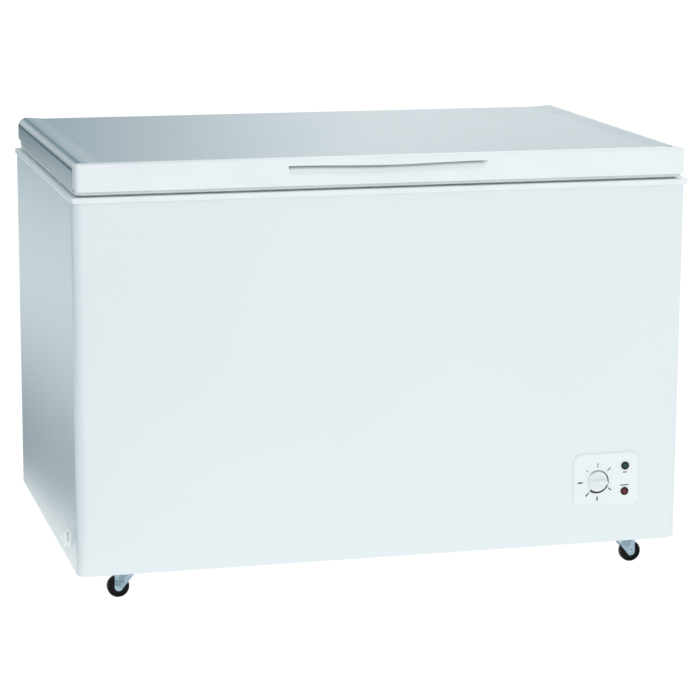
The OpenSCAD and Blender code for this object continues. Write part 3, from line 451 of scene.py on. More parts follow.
def wall_path(x, y0, y1, r, lip, cuts, n=14):
    """Plan path of the outer sheet and its inward directions, from the left rear lip round to the right rear lip.

    Straight runs are joined by quarter circles, and the right wall has a point at each of the cuts; each
    point carries the unit direction that points inside, and a share that is 0 on the rear lips and 1 elsewhere.
    """
    left = corner(-x + r, y0 + r, r, 180, 270, n)
    right = corner(x - r, y0 + r, r, 270, 360, n)
    rear_r = corner(x - 2, y1 - 2, 2, 0, 90, 4)
    rear_l = corner(-x + 2, y1 - 2, 2, 90, 180, 4)

    def inward(a0, a1, m):
        a = np.radians(np.linspace(a0, a1, m + 1))
        return -np.stack([np.cos(a), np.sin(a)], axis=-1)

    runs = [
        (np.array([[-x + lip, y1], [-x + 6, y1]]), np.tile([0, -1.0], (2, 1))),
        (rear_l, inward(90, 180, 4)),
        (left, inward(180, 270, n)),
        (right, inward(270, 360, n)),
        (np.array([[x, y] for y in cuts]), np.tile([-1.0, 0], (len(cuts), 1))),
        (rear_r, inward(0, 90, 4)),
        (np.array([[x - 6, y1], [x - lip, y1]]), np.tile([0, -1.0], (2, 1))),
    ]
    pts = np.concatenate([r[0] for r in runs])
    face = np.concatenate([r[1] for r in runs])
    share = np.ones(len(pts))
    share[:5] = 0
    share[-5:] = 0
    return pts, face, share


def outer_sheet(lo, hi, r, opening):
    """The outer sheet: rows of height carried along the plan path, with a rolled and turned-in bottom hem.

    A row is (inset, z); a point is the path point plus inset times its inward direction. Quads inside the
    opening (y0, y1, z0, z1) of the right wall are left out.
    """
    x, y0, y1 = hi[0], lo[1], hi[1]
    oy0, oy1, oz0, oz1 = opening
    path, face, share = wall_path(x, y0, y1, r, 14, (oy0, oy1))
    z = lo[2]
    hem = corner(2.2, z + 2.2, 2.2, 270, 180, 5)
    rows = np.array([[12, z], [7, z], *hem, [0, oz0], [0, (oz0 + oz1) / 2], [0, oz1],
                     [0, (oz1 + hi[2]) / 2], [0, hi[2] - 1.5], [0, hi[2]]])
    inset = rows[:, 0][:, None] * share[None, :]
    pts = np.empty((len(rows), len(path), 3))
    pts[..., :2] = path[None] + inset[..., None] * face[None]
    pts[..., 2] = rows[:, 1][:, None]
    verts, faces = grid(pts)
    centres = np.array([verts[f].mean(0) for f in faces])
    keep = ~((centres[:, 0] > x - 1) & (centres[:, 1] > oy0) & (centres[:, 1] < oy1)
             & (centres[:, 2] > oz0) & (centres[:, 2] < oz1))
    return verts, [f for f, k in zip(faces, keep) if k]


def collar_rim(lo, hi, body_lo, body_hi, ledge_z):
    """The rim: a closed profile of (side inset, front inset, rear inset, front radius, rear radius, z) rows.

    Insets are from the cabinet's outline; negative ones stand proud of it. The rows run from the lip's
    underside, round the lip, over the top, down to the basket's ledge and back underneath.
    """
    x, y0, y1 = body_hi[0], body_lo[1], body_hi[1]
    side, out = hi[0] - x, y0 - lo[1]
    top, low = hi[2], hi[2] - 11
    rows = [(-0.2, -0.2, 1.4, 20, 3, low + 0.3), (-side + 0.8, -out + 0.8, 1.0, 8, 3, low)]
    for a in np.radians([20, 55, 90]):
        rows.append((-side + 0.8 - 0.8 * np.sin(a), -out + 0.8 - 0.8 * np.sin(a), 1.0 - np.sin(a), 8, 2,
                     low + 0.8 - 0.8 * np.cos(a)))
    for a in np.radians([0, 22, 45, 68, 90]):
        k = 1 - np.cos(a)
        rows.append((-side + 2.4 * k, -out + 2.4 * k, 2.4 * k, 8, 2, top - 2.4 + 2.4 * np.sin(a)))
    for a in np.radians([0, 30, 60, 90]):
        d = 40 + 3 * np.sin(a)
        rows.append((d, d, d, 42, 42, top - 3 + 3 * np.cos(a)))
    for a in np.radians([0, 45, 90]):
        d = 43 + 2.5 * (1 - np.cos(a))
        rows.append((d, d, d, 42, 42, ledge_z + 2.5 - 2.5 * np.sin(a)))
    for a in np.radians([0, 30, 60, 90]):
        d = 61.8 + 3 * np.sin(a)
        rows.append((d, d, d, 28, 28, ledge_z - 3 + 3 * np.cos(a)))
    rows += [(64.8, 64.8, 64.8, 26.2, 26.2, ledge_z - 12), (62.8, 62.8, 62.8, 28, 28, ledge_z - 12),
             (62.8, 62.8, 62.8, 28, 28, ledge_z - 2.2), (42, 42, 42, 44, 44, ledge_z - 2.2),
             (42, 42, 42, 44, 44, top - 2), (1.4, 1.4, 2.6, 19, 3, top - 2), (-0.2, -0.2, 1.4, 20, 3, top - 2.4)]
    pts = rings([(-x + s, x - s, y0 + f, y1 - b, rf, rb, z) for s, f, b, rf, rb, z in rows], 12)
    return grid(pts, close_u=True, close_v=True)


def stepped_tub(lo, hi, step_x, step_z, drain, hole):
    """The tub's inner face, from the rim down over the step to the drain hole in its floor.

    Rings are rounded rectangles; only their right side moves in over the step. The last ring of the floor
    is joined to a circle round the drain along the lines from the drain's centre.
    """
    x0, x1, y0, y1 = lo[0] + 1.2, hi[0] - 1.2, lo[1] + 1.2, hi[1] - 1.2
    z0, r, ease = lo[2] + 1.2, 26, 22
    rows = [(x1, hi[2]), (x1, (hi[2] + step_z) / 2)]
    a = np.radians(np.linspace(0, 90, 7))
    rows += list(zip(x1 - ease * (1 - np.cos(a)), step_z + ease * (1 - np.sin(a))))
    rows += list(zip(step_x + 16 * (1 - np.sin(a)), step_z - 16 * (1 - np.cos(a))))
    rows += [(step_x, (step_z + z0) / 2)]
    upper = rings([(x0, x, y0, y1, r, r, z) for x, z in rows], 10)
    floor = rings([(x0 + ease * (1 - np.cos(t)), step_x - ease * (1 - np.cos(t)), y0 + ease * (1 - np.cos(t)),
                    y1 - ease * (1 - np.cos(t)), r, r, z0 + ease * (1 - np.sin(t))) for t in a], 10)
    last = floor[-1]
    aim = last[:, :2] - drain
    aim /= np.linalg.norm(aim, axis=1)[:, None]
    throat = [np.column_stack([drain + aim * d, np.full(len(aim), z)])
              for d, z in ((hole + 8, z0), (hole + 3, z0 - 0.5), (hole + 0.5, z0 - 1.6))]
    pts = np.concatenate([upper, floor, np.stack(throat)])
    return grid(pts, close_v=True)


def lid_shell(lo, hi, ridge, edge_r, relief_y):
    """The lid's skin: its end-to-end section carried from the front to the rear wall.

    The section rises up each end, rolls over in an arc of radius edge_r, and falls from the ridge to the
    flat top by a smooth step. Near the rear the section shrinks by 1 - cos and moves by sin, which rolls
    the top into the rear wall, and the skirt's lower edge climbs by relief.
    """
    w, top, z0 = hi[0], ridge - 2.5, lo[2]
    arc_l = corner(-w + edge_r, ridge - edge_r, edge_r, 180, 90, 12)
    fall = np.linspace(0, 1, 12)[1:]
    down = np.stack([-w + edge_r + 40 * fall, ridge - (ridge - top) * smooth(fall)], axis=-1)
    half = np.concatenate([arc_l, down, [[-w * 0.5, top], [-w * 0.2, top]]])
    section = np.concatenate([half, half[::-1] * [-1, 1]])
    nx = np.gradient(section, axis=0)
    nrm = np.stack([nx[:, 1], -nx[:, 0]], axis=-1)
    nrm /= np.linalg.norm(nrm, axis=1)[:, None]
    y0, y1, roll = lo[1], hi[1], 7.0
    a = np.radians(np.linspace(0, 90, 7))
    ys = np.concatenate([[y0, y0 + 0.6, y0 + 4, y0 + 120, -50, 150, relief_y[0], relief_y[1], y1 - roll],
                         y1 - roll + roll * np.sin(a[1:])])
    shrink = np.concatenate([[0.8, 0.2, 0, 0, 0, 0, 0, 0, 0], roll * (1 - np.cos(a[1:]))])
    low = z0 + 9 * smooth((ys - relief_y[0]) / (relief_y[1] - relief_y[0]))
    core = section[None] + shrink[:, None, None] * nrm[None]
    foot_l = np.stack([core[:, 0, 0], low], axis=-1)[:, None]
    foot_r = np.stack([core[:, -1, 0], low], axis=-1)[:, None]
    ring = np.concatenate([foot_l, core, foot_r], axis=1)
    pts = np.stack([ring[..., 0], np.broadcast_to(ys[:, None], ring.shape[:2]), ring[..., 1]], axis=-1)
    inner = pts[-1].copy()
    inner[:, 0] *= 0.5
    inner[:, 2] = low[-1] + (inner[:, 2] - low[-1]) * 0.5
    inner[0, 2] = inner[-1, 2] = low[-1]
    return grid(np.concatenate([pts, inner[None]]), cap_end=True)


def front_trim(lo, hi, wide, tall, deep, lip_z):
    """The lid's front moulding: a closed section carried from end to end.

    The finger recess is a rounded rectangle, wide either side of the middle and tall below the lip. Inside it
    the face goes back by a dish of (1 - u^2)^1.4, u running from the lip to the recess's foot, plus a gap that
    falls off by a smooth step just under the lip. The lip hangs lower in its middle by a cosine. At both ends
    the section shrinks by 1 - cos, which rounds the end's edges.
    """
    w, y0, y1, z0, z1 = hi[0], lo[1], hi[1], lo[2], hi[2]
    r = 8.0
    a = np.radians(np.linspace(0, 90, 9))
    end = w - r + r * np.sin(a)
    inner = np.concatenate([np.linspace(-wide - 14, -wide + 24, 46), np.linspace(-wide + 24, wide - 24, 60)[1:-1],
                            np.linspace(wide - 24, wide + 14, 46)])
    far = np.linspace(wide + 20, w - r - 1, 12)
    xs = np.concatenate([-end[::-1], -far[::-1], inner, far, end])
    shrink = np.concatenate([r * (1 - np.cos(a))[::-1], np.zeros(len(xs) - 18), r * (1 - np.cos(a))])
    sag = 3.2 * 0.5 * (1 + np.cos(np.pi * np.clip(xs / (wide - 8), -1, 1)))
    lip = lip_z - sag
    under = np.sin(np.linspace(0, 1, 34) * np.pi / 2)

    foot = 1.2
    low_z = z0 + foot + (lip[:, None] - z0 - foot) * under[None, :]
    dz = np.maximum(lip[:, None] - low_z, 0)
    round_r = 11.0
    qx = np.maximum(np.abs(xs) - (wide - round_r), 0)[:, None]
    qz = np.maximum(dz - (tall - round_r), 0)
    inside = np.clip(round_r - np.sqrt(qx ** 2 + qz ** 2), 0, 20)
    dish = 10.0 * (1 - np.clip(dz / tall, 0, 1) ** 2) ** 1.4 + (deep - 10.0) * (1 - smooth(dz / 7.5))
    depth = dish * smooth(inside / np.where(xs > 0, 15.0, 8.0)[:, None])
    face_low = np.stack([y0 + depth, low_z], axis=-1)
    high_r = 3.4
    b = np.radians(np.linspace(0, 90, 6))
    notch = smooth((wide + 3 - np.abs(xs)) / 8)[:, None]
    lip_up = np.stack([y0 + np.array([[0.9, 0.25, 0.0]]) * notch, lip[:, None] + np.array([[0.0, 0.3, 0.9]])],
                      axis=-1)
    top = np.stack([y0 + high_r * (1 - np.cos(b)), z1 - high_r + high_r * np.sin(b)], axis=-1)
    top = np.tile(top[None], (len(xs), 1, 1))
    back = np.tile(np.array([[[y1 - 0.8, z1], [y1, z1 - 0.8], [y1, z0 + 0.4], [y0 + 4, z0], [y0 + foot, z0],
                              [y0 + 0.35, z0 + 0.35]]]), (len(xs), 1, 1))
    ring = np.concatenate([face_low, lip_up, top, back], axis=1)
    s = shrink[:, None]
    mid_z = (z0 + z1) / 2
    y = np.maximum(ring[..., 0], np.minimum(y0 + s, y1))
    z = ring[..., 1] - np.clip((ring[..., 1] - mid_z) / (z1 - mid_z), -1, 1) * s * 0.4
    pts = np.stack([np.broadcast_to(xs[:, None], y.shape), y, z], axis=-1)
    return grid(pts, close_v=True, cap_start=True, cap_end=True)


def inner_lid(lo, hi, plug):
    """The moulded inner lid: rings from the flange down the plug's drafted wall, then a raised border and
    a sunken middle panel, each step an S curve."""
    x0, x1, y0, y1 = lo[0], hi[0], lo[1], hi[1]
    px0, px1, py0, py1 = plug
    z1, z0 = lo[2] + 12, lo[2]
    rows = [(x0, x1, y0, y1, 3, 3, z1 + 1.2), (x0, x1, y0, y1, 3, 3, z1)]
    a = np.radians(np.linspace(0, 90, 6))
    rows += [(px0 - e, px1 + e, py0 - e, py1 + e, 24, 24, z) for e, z in
             zip(4 * (1 - np.sin(a)), z1 - 4 * (1 - np.cos(a)))]
    rows += [(px0 + e, px1 - e, py0 + e, py1 - e, 24, 24, z) for e, z in
             zip(1 + 5 * (1 - np.cos(a)), z0 + 5 - 5 * np.sin(a))]
    for e, z in ((46, z0), (48, z0 + 0.2), (52, z0 + 0.9), (55, z0 + 1.3), (58, z0 + 1.4), (110, z0 + 1.4),
                 (113, z0 + 1.3), (117, z0 + 0.6), (120, z0 + 0.5)):
        rows.append((px0 + e, px1 - e, py0 + e, py1 - e, 30, 30, z))
    return grid(rings(rows, 8), close_v=True, cap_start=True, cap_end=True)


def foam_core(lo, hi, plug, flange_z):
    """The lid's foam, as rings: inside the plug, then out over the flange, then in again under the rolled ends."""
    px0, px1, py0, py1 = plug
    rows = [(px0 + 8, px1 - 8, py0 + 8, py1 - 8, 20, 20, z) for z in (lo[2] + 3, flange_z + 4)]
    for d, z in ((6, flange_z + 4), (6, hi[2] - 18), (20, hi[2] - 5)):
        rows.append((lo[0] + d, hi[0] - d, lo[1] + d, hi[1] - d, 8, 8, z))
    return grid(rings(rows, 8), close_v=True, cap_start=True, cap_end=True)


def gasket_band(lo, hi, top):
    """The gasket: a closed profile carried round the rim, one shallow wave of sin^2 down its outside."""
    w, y0, y1, z0 = hi[0], lo[1], hi[1], lo[2]
    t = np.linspace(0, 1, 13)
    outer = np.stack([-1.6 + 0.9 * np.sin(t * np.pi) ** 2, top - 0.1 - t * (top - 3.8 - z0)], axis=-1)
    lip = np.array([[0.4, z0 + 3.2], [7.0, z0 + 2.9], [8.0, z0 + 0.6], [9.0, z0], [17.4, z0], [18, z0 + 0.9],
                    [17.4, z0 + 1.8]])
    inner = np.array([[21.6, z0 + 2.2], [22, z0 + 3.5], [20.6, z0 + 5.5], [22, top - 0.1]])
    rows = np.concatenate([outer, lip, inner])
    return grid(around((lo[0], w, y0, y1), [(d, 12, z) for d, z in rows], 8), close_u=True, close_v=True)


def panel_plate(w, h, r, thick):
    """Front plate lying in its own XY: rounded rectangles that shrink over a rounded rim, then a fine groove."""
    a = np.radians(np.linspace(0, 90, 6))
    box = (-w / 2, w / 2, -h / 2, h / 2)
    rows = [(0.4, r - 0.4, 0), (0, r, 0.5)]
    rows += [(2.2 * (1 - np.cos(t)), r - 2.2 * (1 - np.cos(t)), thick - 1.9 + 1.9 * np.sin(t)) for t in a]
    rows += [(d, r - d, thick - sunk) for d, sunk in ((4.0, 0), (4.5, 0.35), (5.0, 0.35), (5.4, 0.1))]
    return grid(around(box, rows, 12), close_v=True, cap_start=True, cap_end=True)


def printed_arc(r_in, thick_a, thick_b, a0, a1, height=0.08, n=72):
    """Flat arc: its inner radius is constant and its thickness grows evenly from a0 to a1 degrees."""
    a = np.radians(np.linspace(a0, a1, n))
    t = np.linspace(thick_a, thick_b, n)
    r = np.stack([np.full(n, r_in), r_in + t, r_in + t, np.full(n, r_in)], axis=-1)
    z = np.array([0, 0, height, height])[None] + 0 * r
    pts = np.stack([r * np.cos(a)[:, None], r * np.sin(a)[:, None], z], axis=-1)
    return grid(pts, close_v=True, cap_start=True, cap_end=True)


def printed_dash(x0, y0, x1, y1, wide_a, wide_b, height=0.08):
    """Flat dash from one point to another: a lens-ended strip whose half width runs from wide_a to wide_b."""
    t = np.linspace(0, 1, 13)
    half = (wide_a + (wide_b - wide_a) * t) / 2 * np.sqrt(np.clip(1 - (2 * t - 1) ** 8, 0.05, 1))
    d = np.array([x1 - x0, y1 - y0], float)
    n = np.array([-d[1], d[0]]) / np.linalg.norm(d)
    mid = np.array([x0, y0]) + t[:, None] * d
    a, b = mid + half[:, None] * n, mid - half[:, None] * n
    pts = np.stack([np.column_stack([a, 0 * t]), np.column_stack([b, 0 * t]),
                    np.column_stack([b, height + 0 * t]), np.column_stack([a, height + 0 * t])], axis=1)
    return grid(pts, close_v=True, cap_start=True, cap_end=True)


def knob_face(r, skirt, tall):
    """Knob lying in its own XY, grip along X: a height over a polar grid.

    The height is a skirt that falls off by a circle at its rim, plus a bar whose sides are smooth steps
    across Y and whose ends follow the rim, with a shallow saddle along its top; the skirt's side has fine
    flutes, a cosine of the angle.
    """
    rad = np.concatenate([np.linspace(0.4, r - 2.2, 60), r - 2.2 + 2.2 * np.sin(np.radians(np.linspace(10, 90, 8)))])
    a = np.linspace(0, 2 * np.pi, 240, endpoint=False)
    R, A = np.meshgrid(rad, a, indexing="ij")
    x, y = R * np.cos(A), R * np.sin(A)
    edge = np.clip((R - (r - 2.2)) / 2.2, 0, 1)
    base = skirt - 2.2 * (1 - np.sqrt(1 - edge ** 2)) - 0.9 * smooth((R - 8) / 9) * (1 - edge)
    bar = smooth((5.0 - np.abs(y)) / 1.7) * smooth((r - 1.6 - R) / 2.2)
    top = tall - 1.0 * (x / r) ** 2
    z = base + (top - base) * bar
    z -= 0.9 * smooth((0.9 - np.abs(y)) / 0.5) * smooth((x + r) / 2.0) * smooth((-4 - x) / 1.5) * bar
    face = np.stack([x, y, z], axis=-1)
    side_z = np.array([skirt - 2.6, skirt * 0.5, 0.8, 0.0])
    flute = 1 + 0.006 * (np.cos(60 * a) - 1)
    side_r = (r + np.array([0.05, 0.3, 0.5, 0.3]))[:, None] * flute[None]
    side = np.stack([side_r * np.cos(a), side_r * np.sin(a), np.broadcast_to(side_z[:, None], side_r.shape)], axis=-1)
    return grid(np.concatenate([face, side]), close_v=True, cap_start=True, cap_end=True)


def lamp_bezel(r, deep):
    """Bezel ring of a lamp, its section a half circle above a straight wall, turned about Z."""
    a = np.radians(np.linspace(0, 180, 10))
    mid, w = r - 1.3, 1.3
    bead = np.stack([mid + w * np.cos(a), deep + 0.5 * w * np.sin(a)], axis=-1)
    return lathe([[r, 0], *bead, [r - 2.6, 0.1], [r - 2.7, -1.0], [r - 0.4, -1.0]], 48)


def lamp_lens(r, deep):
    """Domed lens: z = deep times the square root of 1 - (radius / r)^2, turned about Z."""
    t = np.linspace(0, 1, 14)
    rad = r * np.sin(t * np.pi / 2)
    dome = np.stack([rad, deep * np.cos(t * np.pi / 2)], axis=-1)
    return lathe([[0.001, deep], *dome[1:], [r, -0.8], [0.001, -0.8]], 40)


def drain_flange(r, bore, out):
    """Flange of the drain: a disc with a rounded rim and a raised collar round its bore, turned about Z."""
    a = np.radians(np.linspace(0, 90, 6))
    rim = np.stack([r - 1.4 + 1.4 * np.cos(a), out - 1.4 + 1.4 * np.sin(a)], axis=-1)
    neck = np.stack([bore + 2.2 + 0.8 * np.cos(a), out + 2.7 + 0.8 * np.sin(a)], axis=-1)
    return lathe([[bore, 0], [r, 0], *rim, [bore + 4.6, out], [bore + 3.4, out + 0.6], *neck, [bore + 0.4, out + 3.5],
                  [bore, out + 3.1]], 72)


def drain_cap_face(r, thick, hub_r, dish, stem_r, stem):
    """Screw cap: a stem, a fluted rim and a dished face with a domed hub; flutes are a cosine of the angle."""
    a = np.radians(np.linspace(0, 90, 6))
    rim = np.stack([r - 1.3 + 1.3 * np.cos(a), thick - 1.3 + 1.3 * np.sin(a)], axis=-1)
    hub = np.stack([hub_r - 1.6 + 1.6 * np.cos(a), thick - 1.8 + 1.6 * np.sin(a)], axis=-1)
    profile = np.array([[0.001, -stem], [stem_r - 0.8, -stem], [stem_r, -stem + 0.8], [stem_r, 0], [r - 0.8, 0],
                        [r, 0.8], [r, thick * 0.45], *rim,
                        [r - 2.8, thick], [r - 3.6, thick - 1.0], [r - 4.4, thick - dish],
                        [hub_r + 1.2, thick - dish], [hub_r + 0.2, thick - dish + 0.6], *hub, [0.001, thick - 0.1]])
    verts, faces = lathe(profile, 144)
    ang = np.arctan2(verts[:, 1], verts[:, 0])
    rad = np.hypot(verts[:, 0], verts[:, 1])
    ribbed = (rad > r - 0.9) & (verts[:, 2] > 0.3) & (verts[:, 2] < thick - 0.6)
    k = np.where(ribbed, 1 - 0.018 * (0.5 - 0.5 * np.cos(ang * 36)), 1)
    verts[:, 0] *= k
    verts[:, 1] *= k
    return verts, faces


def rubber_plug(r, stem_r, stem, grip):
    """Stopper: a tapered stem with two sealing beads, a domed flange and a waisted grip, turned about Z."""
    a = np.radians(np.linspace(0, 90, 6))
    flange = np.stack([r - 1.6 + 1.6 * np.cos(a), 2.6 + 1.6 * np.sin(a)], axis=-1)
    head = np.stack([5.6 + 1.4 * np.cos(a), grip - 1.4 + 1.4 * np.sin(a)], axis=-1)
    return lathe([[0.001, -stem], [stem_r - 1.2, -stem], [stem_r - 0.4, -stem + 1], [stem_r, -stem + 2.4],
                  [stem_r - 0.5, -stem + 3.6], [stem_r - 0.5, -3.4], [stem_r, -2.2], [stem_r - 0.4, -1.0],
                  [stem_r - 0.4, 0.4], [r, 0.4], *flange, [6, 4.6], [4.2, 6.4], [4.0, 9.4], [5.0, 11.4],
                  [7.0, 12.2], *head, [0.001, grip]], 56)


def caster_tyre(r, w, bore):
    """Caster wheel about Z: a hub, a dished web and a tread whose shoulders are quarter circles."""
    a = np.radians(np.linspace(0, 90, 7))
    web = np.array([[bore, w + 0.4], [6.2, w + 0.4], [7.0, w - 0.1], [8.0, w - 2.0], [r - 6.6, w - 2.2],
                    [r - 5.6, w - 1.4], [r - 5.0, w - 0.2]])
    shoulder = np.stack([r - 3.2 + 3.2 * np.sin(a), w - 3.2 + 3.2 * np.cos(a)], axis=-1)
    side = np.concatenate([web, shoulder])
    groove = np.array([[r, 1.0], [r - 0.5, 0.5], [r - 0.5, -0.5], [r, -1.0]])
    profile = np.concatenate([side, groove, side[::-1] * [1, -1]])
    pts, faces = lathe(profile, 72)
    n, m = 72, len(profile)
    u = np.arange(n)
    bore_faces = np.stack([u * m, ((u + 1) % n) * m, ((u + 1) % n) * m + m - 1, u * m + m - 1], axis=-1).tolist()
    return pts, faces + bore_faces


def caster_rivet(r, half, head_r):
    """Axle about Z with a domed head at each end: head height follows the square root of 1 - (radius / r)^2."""
    t = np.linspace(0, 1, 8)
    dome = np.stack([head_r * np.sin(t * np.pi / 2), half + 0.3 + 1.2 * np.cos(t * np.pi / 2)], axis=-1)
    end = np.concatenate([[[0.001, half + 1.5]], dome[1:], [[head_r, half - 0.1], [r, half - 0.1]]])
    return lathe(np.concatenate([end, end[::-1] * [1, -1]]), 40)


def basket_wires(lo, hi, y_in, rail_z, thick):
    """The basket's wires, each a round rod: U shapes across and along it, two hoops and the rails' frame."""
    r = thick / 2
    x0, x1, y0, y1, z0 = lo[0] + 2.5, hi[0] - 2.5, lo[1] + 2.5, hi[1] - 2.5, lo[2] + r
    yi0, yi1, rz = lo[1] + y_in + r, hi[1] - y_in - r, rail_z + 2.5
    xi0, xi1 = lo[0] + 1 + r, hi[0] - 1 - r
    parts = []
    for x in np.linspace(xi0, xi1, 7):
        u = bent([[x, y0, rz], [x, yi0, rz], [x, yi0, z0], [x, yi1, z0], [x, yi1, rz], [x, y1, rz]], 6, 4)
        parts.append(rod(u, r, 8, up=(1, 0, 0)))
    for y in np.linspace(yi0, yi1, 16):
        u = bent([[x0 + 0.4, y, rz + 1.0], [xi0, y, rz - 5], [xi0, y, z0 + thick * 0.7], [xi1, y, z0 + thick * 0.7],
                  [xi1, y, rz - 5], [x1 - 0.4, y, rz + 1.0]], 4, 4)
        parts.append(rod(u, r, 8, up=(0, 1, 0)))
    for z in (z0 + (rz - z0) / 3, z0 + (rz - z0) * 2 / 3):
        hoop = np.column_stack([outline(xi0 - 1, xi1 + 1, yi0 - 1, yi1 + 1, 8, 8, 5), np.full(24, z)])
        parts.append(rod(hoop, r, 8, closed=True))
    frame_ring = np.column_stack([outline(x0, x1, y0, y1, 9, 9, 6), np.full(28, rz)])
    parts.append(rod(frame_ring, 2.45, 12, closed=True))
    return together(*parts)


def coil(cx, cy, r, wire, low, high, turns):
    """Compression spring: a rod along (cx + r cos a, cy + r sin a), height an S curve that closes both ends."""
    n = turns * 24
    t = np.linspace(0, 1, n + 1)
    flat = 0.13
    rise = np.clip((t - flat * 0.5) / (1 - flat), 0, 1)
    a = t * turns * 2 * np.pi
    z = low + wire + t * wire * 1.2 + rise * (high - low - 3.4 * wire)
    return rod(np.stack([cx + r * np.cos(a), cy + r * np.sin(a), z], axis=-1), wire, 10)


# ---- sizes and colours a user may change ----


class FreezerLook(bpy.types.PropertyGroup):
    """Colours and small radii of the freezer's finish."""

    enamel: bpy.props.FloatVectorProperty(name="Cabinet enamel", description="Colour of the cabinet's baked enamel",
                                          subtype="COLOR", size=3, min=0, max=1, default=(0.80, 0.85, 0.865))
    # The lid is white enamel like the cabinet; this dark blue-grey colour is painted shade and painted reflection.
    lid_sheet_painted_shade: bpy.props.FloatVectorProperty(name="Lid sheet", description="Colour of the lid's enamelled sheet",
                                             subtype="COLOR", size=3, min=0, max=1, default=(0.20, 0.29, 0.33))
    white: bpy.props.FloatVectorProperty(name="White plastic", description="Colour of the white mouldings",
                                         subtype="COLOR", size=3, min=0, max=1, default=(0.84, 0.87, 0.88))
    rim_radius: bpy.props.FloatProperty(name="Front corner radius",
                                        description="Radius of the cabinet's front corners",
                                        subtype="DISTANCE", unit="LENGTH", min=0.014, max=0.030, default=0.020)
    lid_roll: bpy.props.FloatProperty(name="Lid end roll", description="Radius of the roll along the lid's two ends",
                                      subtype="DISTANCE", unit="LENGTH", min=0.014, max=0.022, default=0.018)


class FreezerStage(bpy.types.PropertyGroup):
    """Camera and light of the studio."""

    lens: bpy.props.FloatProperty(name="Lens", description="Focal length of the camera in millimetres",
                                  min=50, max=300, default=136.05)
    key: bpy.props.FloatProperty(name="Key light", description="Power of the main soft light in watts",
                                 min=0, max=5000, default=25.0)
    shade_side: bpy.props.FloatVectorProperty(name="Shade side", description="Glow of the floor left of the freezer",
                                              subtype="COLOR", size=3, min=0, max=1, default=(0.06, 0.12, 0.15))
    floor_white: bpy.props.FloatProperty(name="Floor white", description="How pale the floor is",
                                         min=0.0, max=1.0, default=0.05)


def steps():
    """The operators of the pieces, in the order in which main() calls them."""
    return [c for c in CLASSES if issubclass(c, bpy.types.Operator)]


# ---- operators ----

# Millimetres: the basket's ledge under the rim's top, the inner lid's plug inside the cabinet's outline, and
# the finger recess's half width, height and depth, with its lip under the moulding's top.
LEDGE_DROP = 14
PLUG_IN = 70
RECESS_HALF, RECESS_TALL, RECESS_DEEP, LIP_DROP = 199.0, 20.5, 27.0, 13

# The studio, in metres and degrees: the floor's corners, the camera's place, and its yaw, fall and roll.
FLOOR_CORNERS = ((-40, -12), (40, -12), (40, 90), (-40, 90))
CAMERA_AT = (-1.3617, -5.2389, 1.5118)
CAMERA_TURN = (14.844, 11.653, 0.313)
FLOOR_WHITE, FLOOR_PALE, FAR_SHADE = (1.0, 1.03, 1.04), (0.86, 0.98, 1.01), (0.04, 0.08, 0.10)
SKY_GLOWS = ((0.07, (0.12, 0.18, 0.21)), (0.16, (0.90, 0.96, 0.98)), (0.245, (0.10, 0.20, 0.25)),
             (0.325, (0.98, 1.04, 1.06)), (0.41, (0.83, 0.88, 0.90)), (1.0, (0.80, 0.82, 0.83)))


class FREEZER_OT_cabinet(bpy.types.Operator):
    """Outer sheet, back panel, base pan, grille and rear cover"""
    bl_idname = "freezer.cabinet"
    bl_label = "Cabinet shell"

    def execute(self, context):
        look = context.scene.freezer_look
        make_paints(look)
        lo, hi = cad("cabinet_wrap")
        g_lo, g_hi = cad("side_grille")
        opening = (g_lo[1] + 8, g_hi[1] - 8, g_lo[2] + 8, g_hi[2] - 8)
        sheet = piece("cabinet_sheet", outer_sheet(lo, hi, look.rim_radius * 1000, opening), PAINTS["enamel"],
                      "cabinet", ("cabinet_wrap",), recalc=False)
        thicken(sheet, 1.0)
        eased("back_panel", "back_sheet", PAINTS["enamel"], "cabinet", 0.3)
        eased("base_pan", "bottom_pan", PAINTS["galvanised"], "cabinet", 0.5)
        eased("side_grille", "air_grille", PAINTS["white"], "cabinet", 0.9, 3)
        eased("rear_cover", "service_cover", PAINTS["galvanised"], "cabinet", 0.35)
        eased("cord_gland", "lead_gland", PAINTS["rubber"], "cabinet", 0.6)
        return {"FINISHED"}


class FREEZER_OT_rim(bpy.types.Operator):
    """White rim round the top of the cabinet, with its basket ledge"""
    bl_idname = "freezer.rim"
    bl_label = "Rim collar"

    def execute(self, context):
        lo, hi = cad("top_collar")
        body_lo, body_hi = cad("cabinet_wrap")
        piece("rim_collar", collar_rim(lo, hi, body_lo, body_hi, hi[2] - LEDGE_DROP), PAINTS["white_gloss"], "cabinet",
              ("top_collar",))
        return {"FINISHED"}


class FREEZER_OT_tub(bpy.types.Operator):
    """Stepped inner tub with its drain plug"""
    bl_idname = "freezer.tub"
    bl_label = "Inner tub"

    def execute(self, context):
        lo, hi = cad("inner_liner")
        w_lo, w_hi = cad("compartment_wall")
        d_lo, d_hi = cad("drain_plug")
        drain = ((d_lo + d_hi) / 2)[:2]
        tub = piece("inner_tub", stepped_tub(lo, hi, w_lo[0] + 1.2 - 60, w_hi[2] - 1.2 + 60, drain, 7.3),
                    PAINTS["liner"], "cabinet", ("inner_liner",), recalc=False)
        thicken(tub, 1.2)
        plug = rubber_plug((d_hi[0] - d_lo[0]) / 2, 6.92, 9, d_hi[2] - lo[2] - 1.2)
        piece("drain_stopper", moved(plug, (*drain, lo[2] + 1.2)), PAINTS["stopper"], "drain_plug", ("drain_plug",))
        return {"FINISHED"}


